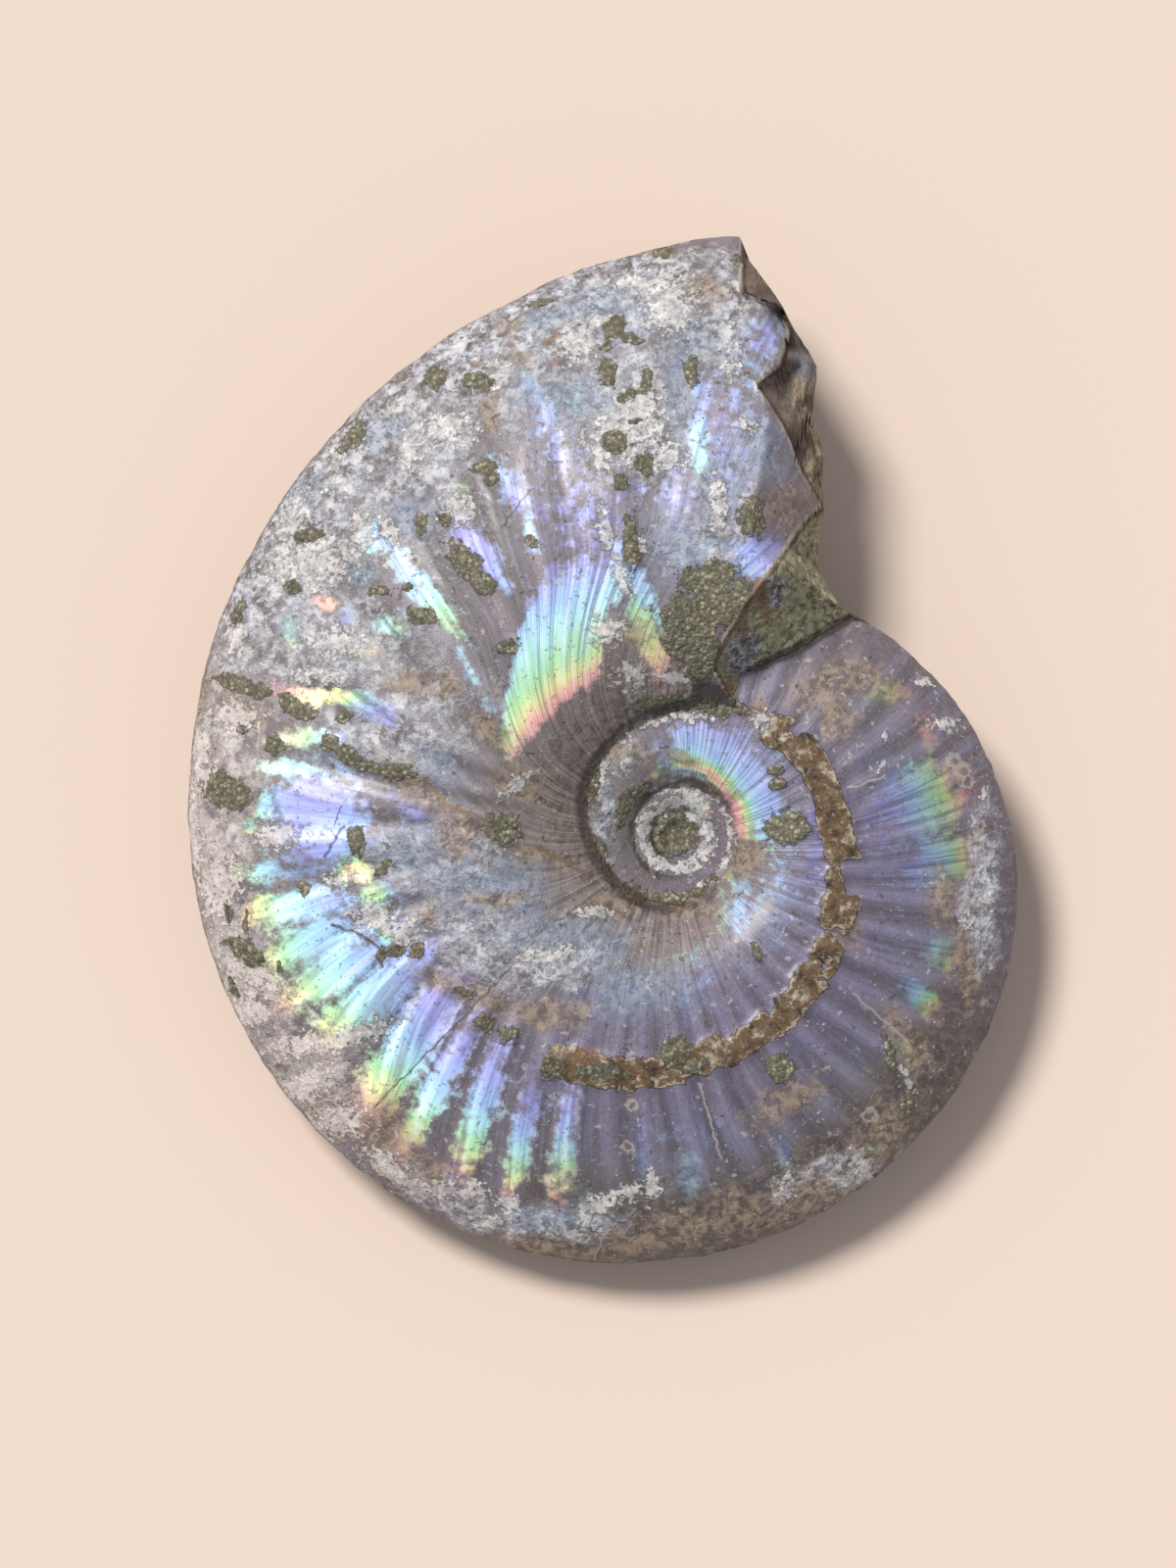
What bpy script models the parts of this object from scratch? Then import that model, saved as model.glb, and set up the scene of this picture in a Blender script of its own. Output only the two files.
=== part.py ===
"""An ammonite fossil lying on its flank, as one solid.

The shell is a flat coil that grows by the same share with every turn. A sphere's rings are laid
onto it, from the middle of one face over the rim to the middle of the other: at each place the
highest whorl shows, so the inner whorls stand in the umbilicus, and at the broken mouth the
sandstone filling slopes down to the whorl before. A Decimate modifier takes out the points that
the shape doesn't need, and the spots that it rests on are cut flat.
"""

import math

import bmesh
import bpy
import numpy as np
from mathutils import Matrix, Vector

MM = 0.001

# Size and growth of the coil. A turn is an angle back from the broken mouth, in radians, and an
# angle is measured round the axis, in degrees, anticlockwise on the front face.
MOUTH_ANGLE = 84.0
MOUTH_RADIUS = 55.8 * MM
MOUTH_HALF_THICKNESS = 12.0 * MM
GROWTH = 0.1383
WOBBLE_COS = 0.0428
WOBBLE_SIN = 0.0372
WOBBLE_SIN_TWICE = 0.00985

# Radius of the umbilical seam, where a whorl meets the one before: (degrees back, millimetres).
# The stretch ahead of the mouth is the trace that the lost part of the last whorl left.
SEAM = (
    (-215, 23.4), (-194, 22.5), (-174, 20.8), (-134, 17.8), (-99, 15.6), (-75, 14.6),
    (-50, 13.9), (-20, 13.0), (10, 11.3), (40, 10.2), (66, 9.2), (90, 7.9), (115, 6.9), (142, 6.4),
    (186, 6.0), (225, 5.3), (276, 5.0), (360, 4.8), (456, 3.9), (546, 3.5), (640, 3.0),
    (816, 2.2), (1000, 1.5), (1440, 0.6),
)

# Shape of a flank. A share runs from the seam (0) to the rim of the same whorl (1).
WIDEST_SHARE = 0.34
SEAM_DROP = 0.60
WALL_POWER = 2.7
FLANK_POWER = 1.7
RIM_POWER = 0.72
WHORLS = 4
CORE_RADIUS = 2.0 * MM
CORE_HEIGHT = 1.7 * MM

# Ribs. The crests are in degrees back at the seam; older ones follow at an even spacing. The
# lean, as (degrees back, degrees), is how far a crest runs forward from the seam to the rim.
RIB_CRESTS = (
    -4, 10.5, 26, 40, 51, 64, 77, 84, 90, 96, 103, 109, 115, 121, 128, 136, 145, 153.5, 161.5, 169,
)
RIB_SPACING = 8.3
RIB_LEAN = ((0, 17), (60, 17), (90, 2), (106, -6), (120, -12), (136, -20), (160, -19), (300, -14))
RIB_HEIGHT = 0.65 * MM

# Broken mouth. Both lists run from the umbilicus outwards as (millimetres, angle in degrees).
# The first is the edge of the shell, the second is the outline of the filling beyond it.
BREAK_EDGE = (
    (12.9, 62.0), (13.9, 71.0), (15.9, 78.8), (19.3, 76.0), (23.3, 72.6), (27.1, 70.0),
    (31.4, 67.9), (33.1, 66.3), (35.0, 71.0), (38.3, 75.3), (41.6, 80.3), (43.7, 77.8),
    (47.3, 77.4), (49.2, 78.8), (50.0, 83.2), (55.7, 83.9),
)
BREAK_OUTLINE = (
    (26.3, 55.5), (26.8, 58.6), (28.2, 62.5), (30.9, 64.8), (33.1, 65.6), (34.9, 67.5),
    (38.0, 69.0), (39.4, 70.8), (41.2, 72.4), (43.1, 72.8), (45.0, 73.2), (46.4, 74.8),
    (48.2, 77.2), (49.6, 78.5), (51.2, 80.3), (53.3, 82.6), (55.8, 84.0),
)
BREAK_STEP = 0.8 * MM

# The sandstone that fills the mouth falls away from that edge. Its slope changes outwards, as
# (millimetres, fall to each millimetre).
FILLING_SLOPE = ((13, 1.0), (20, 1.1), (26, 1.35), (31, 0.92))
FILLING_RISE = 3.4
FILLING_REACH = 45.0
FILLING_BLEND = 0.7 * MM

# The brown ledge along the trace of the lost whorl.
LEDGE_START = 56.0
LEDGE_END = -126.0
LEDGE_HALF_WIDTH = 1.5 * MM
LEDGE_HEIGHT = 0.55 * MM

# The fine surface: rings from the axis to the rim, the first ones on circles round the axis, and
# the share of its triangles that the part keeps.
SPOKES = 400
CIRCLES = 40
OUTER_RINGS = 40
LAST_CIRCLE = 24.0 * MM
KEPT_SHARE = 0.0745

# How it lies on the flank that the front face isn't on: turned off level about X and Y, then
# lifted until the worn spots that it rests on are at the ground.
LIE_TURN_X = 4.75
LIE_TURN_Y = -1.28
AXIS_FOOT = (6.77 * MM, -8.14 * MM, 9.92 * MM)

SHELL_COLOUR = (0.33, 0.32, 0.42, 1.0)


def smooth_step(low, high, value):
    """0 below low, 1 above high and a smooth rise between them."""
    share = np.clip((value - low) / (high - low), 0.0, 1.0)
    return share * share * (3.0 - 2.0 * share)


def along(points, places, column=0):
    """Reads a list of pairs at places given in its column, as the other column."""
    table = np.array(points, float)
    return np.interp(places, table[:, column], table[:, 1 - column])


def rim_radius(turn):
    """Radius of a whorl's outer edge."""
    wobble = (
        WOBBLE_COS * (1.0 - np.cos(turn))
        - WOBBLE_SIN * np.sin(turn)
        - WOBBLE_SIN_TWICE * np.sin(2.0 * turn)
    )
    return MOUTH_RADIUS * np.exp(wobble - GROWTH * turn)


def seam_radius(turn):
    """Radius where a whorl meets the whorl before it."""
    return along(SEAM, np.degrees(turn)) * MM


def outline_radius(angle):
    """Radius of the whole outline, for angles from 0 to 360."""
    turn = np.radians((angle - MOUTH_ANGLE) % 360.0)
    across_break = along(BREAK_OUTLINE, angle, column=1) * MM
    in_break = (angle > BREAK_OUTLINE[0][1]) & (angle < MOUTH_ANGLE)
    return np.where(in_break, across_break, rim_radius(turn))


def rib_relief(share, turn):
    """Height of the ribs over the plain flank, before the whorl's size is counted."""
    back = np.degrees(turn)
    at_seam = back + along(RIB_LEAN, back) * np.clip(share, 0.0, 1.0)
    last = len(RIB_CRESTS) - 1
    counted = np.interp(at_seam, RIB_CRESTS, range(len(RIB_CRESTS)))
    older = last + (at_seam - RIB_CRESTS[last]) / RIB_SPACING
    crest = 0.5 + 0.5 * np.cos(2.0 * math.pi * np.where(at_seam > RIB_CRESTS[last], older, counted))
    outer_flank = smooth_step(0.34, 0.52, share) * (1.0 - smooth_step(0.88, 1.0, share))
    whole_flank = smooth_step(0.06, 0.24, share) * (1.0 - smooth_step(0.62, 0.86, share))
    grown = 1.0 - smooth_step(72.0, 104.0, back)
    reach = outer_flank + (whole_flank - outer_flank) * grown
    strength = 0.35 + 0.65 * smooth_step(10.0, 40.0, back) * (1.0 - smooth_step(160.0, 240.0, back))
    return RIB_HEIGHT * crest * reach * strength


def blend_up(first, second, width):
    """The higher of two heights, with a rounded hollow of that width where they meet."""
    share = np.clip(0.5 + 0.5 * (first - second) / width, 0.0, 1.0)
    return second + (first - second) * share + width * share * (1.0 - share)


def whorl_height(radius, turn):
    """Height of one whorl's flank over the middle plane; below zero outside its rim."""
    seam = seam_radius(turn)
    share = (radius - seam) / (rim_radius(turn) - seam)
    half = MOUTH_HALF_THICKNESS * np.exp(-GROWTH * turn)
    outwards = np.clip((share - WIDEST_SHARE) / (1.0 - WIDEST_SHARE), 0.0, 1.0)
    inwards = np.clip(1.0 - share / WIDEST_SHARE, 0.0, 3.0)
    flank = half * (1.0 - outwards**FLANK_POWER) ** RIM_POWER
    wall = half * SEAM_DROP * inwards**WALL_POWER
    ribs = rib_relief(share, turn) * half / MOUTH_HALF_THICKNESS
    return np.where(share < 1.0, flank - wall + ribs, -half)


def filling_height(radius, angle, lost_whorl):
    """The sandstone between the shell's broken edge and the whorl before."""
    beyond = radius * np.radians(along(BREAK_EDGE, radius / MM) - angle)
    slope = lost_whorl - BREAK_STEP * smooth_step(0.0, 0.4 * MM, beyond)
    slope = slope - along(FILLING_SLOPE, radius / MM) * beyond
    to_rim = np.maximum(outline_radius(angle) - radius, 0.0)
    to_side = radius * np.radians(np.maximum(angle - along(BREAK_OUTLINE, radius / MM), 0.0))
    past_outline = radius > BREAK_OUTLINE[0][0] * MM
    nearest = to_rim * to_side / np.maximum(np.hypot(to_rim, to_side), 1e-9)
    nearest = np.where(past_outline, nearest, to_rim)
    rim = FILLING_RISE * np.sqrt(nearest * 2.0 * MM)
    return np.minimum(np.where(beyond > 0.0, slope, lost_whorl), rim)


def ledge_height(radius, angle, turn):
    """The low ridge that marks where the lost whorl was joined."""
    back = np.degrees(turn)
    middle = seam_radius(turn - 2.0 * math.pi)
    across = np.abs(radius - middle) / LEDGE_HALF_WIDTH
    first = 360.0 + LEDGE_END - MOUTH_ANGLE
    last = 360.0 + LEDGE_START - MOUTH_ANGLE
    lasting = smooth_step(first, first + 10.0, back) * (1.0 - smooth_step(last - 10.0, last, back))
    return LEDGE_HEIGHT * lasting * (1.0 - smooth_step(0.6, 1.1, across))


def face_height(radius, angle):
    """Height of one face of the fossil over its middle plane."""
    first = np.radians((angle - MOUTH_ANGLE) % 360.0)
    height = whorl_height(radius, first) + ledge_height(radius, angle, first)
    for whorl in range(1, WHORLS):
        height = np.maximum(height, whorl_height(radius, first + 2.0 * math.pi * whorl))
    height = np.where(radius < CORE_RADIUS, np.minimum(height, CORE_HEIGHT), height)
    near_mouth = np.degrees(first) > 360.0 - FILLING_REACH
    lost = whorl_height(radius, first - 2.0 * math.pi)
    filled = blend_up(filling_height(radius, angle, lost), height, FILLING_BLEND)
    return np.maximum(np.where(near_mouth, filled, height), 0.0)


def ring_radius(ring, angle):
    """Radius of a ring, counted from the axis outwards."""
    outwards = np.clip((ring - CIRCLES) / OUTER_RINGS, 0.0, 1.0)
    rounded = np.sin(0.5 * math.pi * outwards)
    outline = outline_radius(angle)
    circle = LAST_CIRCLE * np.minimum(ring / CIRCLES, 1.0)
    return circle + (0.5 * outwards + 0.5 * rounded) * (outline - LAST_CIRCLE)


def laid_on_coil(points):
    """The places on the coil for the points of a sphere of radius 1."""
    rings = CIRCLES + OUTER_RINGS
    ring = np.round(np.arccos(np.clip(np.abs(points[:, 2]), 0.0, 1.0)) * 2.0 * rings / math.pi)
    angle = np.degrees(np.arctan2(points[:, 1], points[:, 0])) % 360.0
    radius = ring_radius(ring, angle)
    height = np.where(ring < rings, face_height(radius, angle), 0.0) * np.sign(points[:, 2])
    direction = np.radians(angle)
    return np.stack([radius * np.cos(direction), radius * np.sin(direction), height], axis=1)


def make_surface():
    """The fine surface of the whole fossil, turned to the way it lies."""
    mesh = bmesh.new()
    rings = 2 * (CIRCLES + OUTER_RINGS)
    bmesh.ops.create_uvsphere(mesh, u_segments=SPOKES, v_segments=rings, radius=1.0)
    places = laid_on_coil(np.array([vertex.co[:] for vertex in mesh.verts]))
    for vertex, place in zip(mesh.verts, places):
        vertex.co = place
    turned = Matrix.Rotation(math.radians(LIE_TURN_Y), 4, "Y")
    turned = turned @ Matrix.Rotation(math.radians(LIE_TURN_X), 4, "X")
    lying = Matrix.Translation(Vector(AXIS_FOOT)) @ turned
    bmesh.ops.transform(mesh, matrix=lying, verts=mesh.verts)
    surface = bpy.data.meshes.new("ammonite")
    mesh.to_mesh(surface)
    mesh.free()
    return surface


def thin_out(ammonite):
    """Takes out the points that the shape doesn't need."""
    thinned = ammonite.modifiers.new("thinned", "DECIMATE")
    thinned.ratio = KEPT_SHARE
    bpy.context.view_layer.objects.active = ammonite
    bpy.ops.object.modifier_apply(modifier=thinned.name)


def wear_flat(surface):
    """Cuts off what would be under the ground, which leaves the worn spots that it rests on."""
    mesh = bmesh.new()
    mesh.from_mesh(surface)
    everything = mesh.verts[:] + mesh.edges[:] + mesh.faces[:]
    ground = {"plane_co": (0.0, 0.0, 0.0), "plane_no": (0.0, 0.0, 1.0)}
    cut = bmesh.ops.bisect_plane(mesh, geom=everything, clear_inner=True, **ground)["geom_cut"]
    outlines = [piece for piece in cut if isinstance(piece, bmesh.types.BMEdge)]
    bmesh.ops.holes_fill(mesh, edges=outlines)
    bmesh.ops.triangulate(mesh, faces=mesh.faces)
    mesh.to_mesh(surface)
    mesh.free()


def shell_material():
    """Grey nacre with a violet cast."""
    material = bpy.data.materials.new("nacre")
    material.use_nodes = True
    shader = material.node_tree.nodes["Principled BSDF"]
    shader.inputs["Base Color"].default_value = SHELL_COLOUR
    shader.inputs["Roughness"].default_value = 0.42
    shader.inputs["Metallic"].default_value = 0.0
    return material


def main():
    for old in list(bpy.data.objects):
        bpy.data.objects.remove(old)
    surface = make_surface()
    surface.materials.append(shell_material())
    ammonite = bpy.data.objects.new("ammonite", surface)
    bpy.context.scene.collection.objects.link(ammonite)
    thin_out(ammonite)
    wear_flat(surface)
    surface.shade_smooth()


main()
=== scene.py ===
import math

import bpy
import numpy as np
from mathutils import Matrix, Vector, noise


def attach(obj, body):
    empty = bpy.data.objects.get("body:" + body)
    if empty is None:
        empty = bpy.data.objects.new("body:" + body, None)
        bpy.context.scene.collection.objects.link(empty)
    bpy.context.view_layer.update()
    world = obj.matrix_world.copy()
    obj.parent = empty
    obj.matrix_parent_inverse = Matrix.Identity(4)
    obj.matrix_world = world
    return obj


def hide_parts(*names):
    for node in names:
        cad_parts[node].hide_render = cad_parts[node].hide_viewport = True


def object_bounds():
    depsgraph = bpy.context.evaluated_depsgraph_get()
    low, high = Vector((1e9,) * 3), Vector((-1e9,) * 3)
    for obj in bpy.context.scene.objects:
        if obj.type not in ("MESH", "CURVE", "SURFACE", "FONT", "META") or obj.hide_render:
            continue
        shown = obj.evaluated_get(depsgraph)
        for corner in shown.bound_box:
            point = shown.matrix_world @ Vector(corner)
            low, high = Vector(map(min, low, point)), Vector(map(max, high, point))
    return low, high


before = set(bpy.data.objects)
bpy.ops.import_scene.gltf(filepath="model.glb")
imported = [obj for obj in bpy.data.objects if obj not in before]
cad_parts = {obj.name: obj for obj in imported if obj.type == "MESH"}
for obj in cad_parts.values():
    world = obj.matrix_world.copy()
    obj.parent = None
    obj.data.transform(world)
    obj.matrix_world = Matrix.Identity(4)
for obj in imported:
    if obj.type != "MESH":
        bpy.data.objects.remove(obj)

cad_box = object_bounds()
MM = 0.001


# The fossil's shape. It is an ammonite, a flat coiled shell with its last half turn lost, turned
# to stone in one piece with the sand that filled it. It is laid out round its coil's axis, as in
# the solid: the highest whorl shows at each place, and the broken mouth slopes to the one before.
MOUTH_ANGLE = 84.0
MOUTH_RADIUS = 55.8 * MM
MOUTH_HALF_THICKNESS = 12.0 * MM
GROWTH = 0.1383
WOBBLE_COS = 0.0428
WOBBLE_SIN = 0.0372
WOBBLE_SIN_TWICE = 0.00985
SEAM = (
    (-215, 23.4), (-194, 22.5), (-174, 20.8), (-134, 17.8), (-99, 15.6), (-75, 14.6),
    (-50, 13.9), (-20, 13.0), (10, 11.3), (40, 10.2), (66, 9.2), (90, 7.9), (115, 6.9), (142, 6.4),
    (186, 6.0), (225, 5.3), (276, 5.0), (360, 4.8), (456, 3.9), (546, 3.5), (640, 3.0),
    (816, 2.2), (1000, 1.5), (1440, 0.6),
)
WIDEST_SHARE = 0.34
SEAM_DROP = 0.60
WALL_POWER = 2.7
FLANK_POWER = 1.7
RIM_POWER = 0.72
WHORLS = 4
CORE_RADIUS = 2.0 * MM
CORE_HEIGHT = 1.7 * MM
RIB_CRESTS = (
    -4, 10.5, 26, 40, 51, 64, 77, 84, 90, 96, 103, 109, 115, 121, 128, 136, 145, 153.5, 161.5, 169,
)
RIB_SPACING = 8.3
RIB_LEAN = ((0, 17), (60, 17), (90, 2), (106, -6), (120, -12), (136, -20), (160, -19), (300, -14))
RIB_HEIGHT = 0.65 * MM
SWEEP = ((0, 17), (80, 17), (120, 8), (160, 0))
BREAK_EDGE = (
    (12.9, 62.0), (13.9, 71.0), (15.9, 78.8), (19.3, 76.0), (23.3, 72.6), (27.1, 70.0),
    (31.4, 67.9), (33.1, 66.3), (35.0, 71.0), (38.3, 75.3), (41.6, 80.3), (43.7, 77.8),
    (47.3, 77.4), (49.2, 78.8), (50.0, 83.2), (55.7, 83.9),
)
BREAK_OUTLINE = (
    (26.3, 55.5), (26.8, 58.6), (28.2, 62.5), (30.9, 64.8), (33.1, 65.6), (34.9, 67.5),
    (38.0, 69.0), (39.4, 70.8), (41.2, 72.4), (43.1, 72.8), (45.0, 73.2), (46.4, 74.8),
    (48.2, 77.2), (49.6, 78.5), (51.2, 80.3), (53.3, 82.6), (55.8, 84.0),
)
BREAK_STEP = 0.8 * MM
FILLING_SLOPE = ((13, 1.0), (20, 1.1), (26, 1.35), (31, 0.92))
FILLING_RISE = 3.4
FILLING_REACH = 45.0
FILLING_BLEND = 0.7 * MM
LEDGE_START = 56.0
LEDGE_END = -126.0
LEDGE_HALF_WIDTH = 1.75 * MM
LEDGE_HEIGHT = 0.55 * MM
LIE_TURN_X = 4.75
LIE_TURN_Y = -1.28
AXIS_FOOT = (6.77 * MM, -8.14 * MM, 9.92 * MM)

SPOKES = 520
MOUTH_SPOKES = 84
MOUTH_SECTOR = (52.0, 86.0)
FRONT_CIRCLES = 58
FRONT_OUTER_RINGS = 62
BACK_CIRCLES = 32
BACK_OUTER_RINGS = 36
LAST_CIRCLE = 24.0 * MM


def smooth_step(low, high, value):
    share = np.clip((value - low) / (high - low), 0.0, 1.0)
    return share * share * (3.0 - 2.0 * share)


def along(points, places, column=0):
    table = np.array(points, float)
    return np.interp(places, table[:, column], table[:, 1 - column])


def rim_radius(turn):
    wobble = (
        WOBBLE_COS * (1.0 - np.cos(turn))
        - WOBBLE_SIN * np.sin(turn)
        - WOBBLE_SIN_TWICE * np.sin(2.0 * turn)
    )
    return MOUTH_RADIUS * np.exp(wobble - GROWTH * turn)


def seam_radius(turn):
    return along(SEAM, np.degrees(turn)) * MM


def outline_radius(angle):
    turn = np.radians((angle - MOUTH_ANGLE) % 360.0)
    across_break = along(BREAK_OUTLINE, angle, column=1) * MM
    in_break = (angle > BREAK_OUTLINE[0][1]) & (angle < MOUTH_ANGLE)
    return np.where(in_break, across_break, rim_radius(turn))


def rib_line(share, turn):
    """Where on the seam, in degrees back, the growth line through a place starts."""
    back = np.degrees(turn)
    return back + along(RIB_LEAN, back) * np.clip(share, 0.0, 1.0)


def growth_line(share, turn):
    """The same for the fine growth lines, which also sweep forwards over the umbilical shoulder."""
    sweep = along(SWEEP, np.degrees(turn)) * smooth_step(0.06, 0.42, share)
    return rib_line(share, turn) + sweep


def rib_crest(share, turn):
    """1 on a rib's crest and 0 between two."""
    at_seam = rib_line(share, turn)
    last = len(RIB_CRESTS) - 1
    counted = np.interp(at_seam, RIB_CRESTS, range(len(RIB_CRESTS)))
    older = last + (at_seam - RIB_CRESTS[last]) / RIB_SPACING
    return 0.5 + 0.5 * np.cos(2.0 * math.pi * np.where(at_seam > RIB_CRESTS[last], older, counted))


def rib_reach(share, turn):
    """How strongly the ribs stand out at a place, from 0 to 1."""
    back = np.degrees(turn)
    outer_flank = smooth_step(0.34, 0.52, share) * (1.0 - smooth_step(0.88, 1.0, share))
    whole_flank = smooth_step(0.06, 0.24, share) * (1.0 - smooth_step(0.62, 0.86, share))
    grown = 1.0 - smooth_step(72.0, 104.0, back)
    strength = 0.35 + 0.65 * smooth_step(10.0, 40.0, back) * (1.0 - smooth_step(160.0, 240.0, back))
    return (outer_flank + (whole_flank - outer_flank) * grown) * strength


def blend_up(first, second, width):
    share = np.clip(0.5 + 0.5 * (first - second) / width, 0.0, 1.0)
    return second + (first - second) * share + width * share * (1.0 - share)


def whorl_share(radius, turn):
    seam = seam_radius(turn)
    return (radius - seam) / (rim_radius(turn) - seam)


def plain_flank(share, turn):
    """Height of a whorl's flank without its ribs."""
    half = MOUTH_HALF_THICKNESS * np.exp(-GROWTH * turn)
    outwards = np.clip((share - WIDEST_SHARE) / (1.0 - WIDEST_SHARE), 0.0, 1.0)
    inwards = np.clip(1.0 - share / WIDEST_SHARE, 0.0, 3.0)
    flank = half * (1.0 - outwards**FLANK_POWER) ** RIM_POWER
    return flank - half * SEAM_DROP * inwards**WALL_POWER


def whorl_height(radius, turn):
    share = whorl_share(radius, turn)
    ribs = RIB_HEIGHT * rib_crest(share, turn) * rib_reach(share, turn) * np.exp(-GROWTH * turn)
    half = MOUTH_HALF_THICKNESS * np.exp(-GROWTH * turn)
    return np.where(share < 1.0, plain_flank(share, turn) + ribs, -half)


def filling_height(radius, angle, lost_whorl):
    beyond = radius * np.radians(along(BREAK_EDGE, radius / MM) - angle)
    slope = lost_whorl - BREAK_STEP * smooth_step(0.0, 0.4 * MM, beyond)
    slope = slope - along(FILLING_SLOPE, radius / MM) * beyond
    to_rim = np.maximum(outline_radius(angle) - radius, 0.0)
    to_side = radius * np.radians(np.maximum(angle - along(BREAK_OUTLINE, radius / MM), 0.0))
    past_outline = radius > BREAK_OUTLINE[0][0] * MM
    nearest = to_rim * to_side / np.maximum(np.hypot(to_rim, to_side), 1e-9)
    nearest = np.where(past_outline, nearest, to_rim)
    rim = FILLING_RISE * np.sqrt(nearest * 2.0 * MM)
    return np.minimum(np.where(beyond > 0.0, slope, lost_whorl), rim)


def ledge_shape(radius, turn):
    """1 on the ledge that the lost whorl left, 0 away from it."""
    back = np.degrees(turn)
    across = np.abs(radius - seam_radius(turn - 2.0 * math.pi)) / LEDGE_HALF_WIDTH
    first = 360.0 + LEDGE_END - MOUTH_ANGLE
    last = 360.0 + LEDGE_START - MOUTH_ANGLE
    lasting = smooth_step(first, first + 10.0, back) * (1.0 - smooth_step(last - 10.0, last, back))
    return lasting * (1.0 - smooth_step(0.6, 1.1, across))


def roughness_field(places, scale, octaves, seed):
    """Smooth noise from about -1 to 1 at each place, of grains of the given size."""
    offset = Vector((seed * 17.3, seed * 5.1, seed * 9.7))
    points = (Vector(place) / scale + offset for place in places)
    return np.array([noise.fractal(point, 1.0, 2.0, octaves) for point in points])


# A sphere's rings and spokes, counted off on the primitive and then drawn onto the coil. The
# front has more rings than the back, and the broken mouth closer spokes.
front_rings = FRONT_CIRCLES + FRONT_OUTER_RINGS
back_rings = BACK_CIRCLES + BACK_OUTER_RINGS
all_rings = front_rings + back_rings
bpy.ops.object.select_all(action="DESELECT")
bpy.ops.mesh.primitive_uv_sphere_add(segments=SPOKES, ring_count=all_rings, radius=1.0)
fossil = bpy.context.object
fossil.name = "fossil"
fossil.data.name = "fossil"
count = len(fossil.data.vertices)
sphere = np.empty(count * 3)
fossil.data.vertices.foreach_get("co", sphere)
sphere = sphere.reshape(-1, 3)
ring = np.round(np.arccos(np.clip(sphere[:, 2], -1.0, 1.0)) * all_rings / math.pi)
spoke = np.round(np.arctan2(sphere[:, 1], sphere[:, 0]) * SPOKES / (2.0 * math.pi)) % SPOKES
side = np.where(ring < front_rings, 1.0, -1.0)
at_rim = ring == front_rings
angle = np.interp(
    spoke,
    (0, MOUTH_SPOKES, SPOKES),
    (MOUTH_SECTOR[0], MOUTH_SECTOR[1], MOUTH_SECTOR[0] + 360.0),
) % 360.0
from_axis = np.where(side > 0, ring, all_rings - ring)
circles = np.where(side > 0, FRONT_CIRCLES, BACK_CIRCLES)
outer_rings = np.where(side > 0, FRONT_OUTER_RINGS, BACK_OUTER_RINGS)
outwards = np.clip((from_axis - circles) / outer_rings, 0.0, 1.0)
outwards = 0.55 * outwards + 0.45 * np.sin(0.5 * math.pi * outwards)
radius = LAST_CIRCLE * np.minimum(from_axis / circles, 1.0) ** 1.2
radius = radius + outwards * (outline_radius(angle) - LAST_CIRCLE)

# The ring nearest to a seam between two whorls is moved onto it, so that the seam stays smooth.
SEAM_SAMPLES = 600
sampled = np.linspace(CORE_RADIUS, LAST_CIRCLE, SEAM_SAMPLES)[None, :]
spoke_angle = np.interp(
    np.arange(SPOKES),
    (0, MOUTH_SPOKES, SPOKES),
    (MOUTH_SECTOR[0], MOUTH_SECTOR[1], MOUTH_SECTOR[0] + 360.0),
) % 360.0
spoke_turn = np.radians((spoke_angle - MOUTH_ANGLE) % 360.0)[:, None]
heights = np.stack([whorl_height(sampled, spoke_turn + 2.0 * math.pi * whorl) for whorl in range(WHORLS)])
top_whorl = np.argmax(heights, axis=0)
ring_gap = 1.2 * LAST_CIRCLE / circles * (from_axis / circles) ** 0.2
for whorl in range(WHORLS - 1):
    seam = sampled[0, np.argmax(top_whorl <= whorl, axis=1)][spoke.astype(int)]
    on_ring = (np.abs(seam - radius) <= 0.5 * ring_gap) & (from_axis < circles)
    radius = np.where(on_ring, seam, radius)

# Which whorl shows at each place, and where on it.
first_turn = np.radians((angle - MOUTH_ANGLE) % 360.0)
turn = first_turn.copy()
height = whorl_height(radius, first_turn)
for whorl in range(1, WHORLS):
    deeper = first_turn + 2.0 * math.pi * whorl
    deeper_height = whorl_height(radius, deeper)
    turn = np.where(deeper_height > height, deeper, turn)
    height = np.maximum(height, deeper_height)
share = whorl_share(radius, turn)
height = np.where(radius < CORE_RADIUS, np.minimum(height, CORE_HEIGHT), height)
direction = np.radians(angle)
flat_x = radius * np.cos(direction)
flat_y = radius * np.sin(direction)

# The filling of the broken mouth, where it shows.
near_mouth = np.degrees(first_turn) > 360.0 - FILLING_REACH
lost_height = whorl_height(radius, first_turn - 2.0 * math.pi)
filling = np.where(near_mouth, filling_height(radius, angle, lost_height), -MOUTH_HALF_THICKNESS)
beyond_edge = radius * np.radians(along(BREAK_EDGE, radius / MM) - angle)
shell_again = near_mouth & (beyond_edge <= 0.0) & (filling > height)
turn = np.where(shell_again, first_turn - 2.0 * math.pi, turn)
share = np.where(shell_again, whorl_share(radius, turn), share)
broken_mask = smooth_step(-0.3 * MM, 0.3 * MM, filling - height) * smooth_step(11.5 * MM, 12.7 * MM, radius)
broken_mask = np.where(near_mouth & ~shell_again, broken_mask, 0.0)
# The foot of the broken face, where it meets the whorl before: painted shade and grime lie there.
foot = smooth_step(1.3 * MM, 0.2 * MM, np.abs(filling - height)) * smooth_step(2.0 * MM, 4.0 * MM, beyond_edge)
foot = np.where(near_mouth, foot, 0.0)
height = np.where(near_mouth, blend_up(filling, height, FILLING_BLEND), height)
height = np.maximum(height, 0.0)


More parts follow.
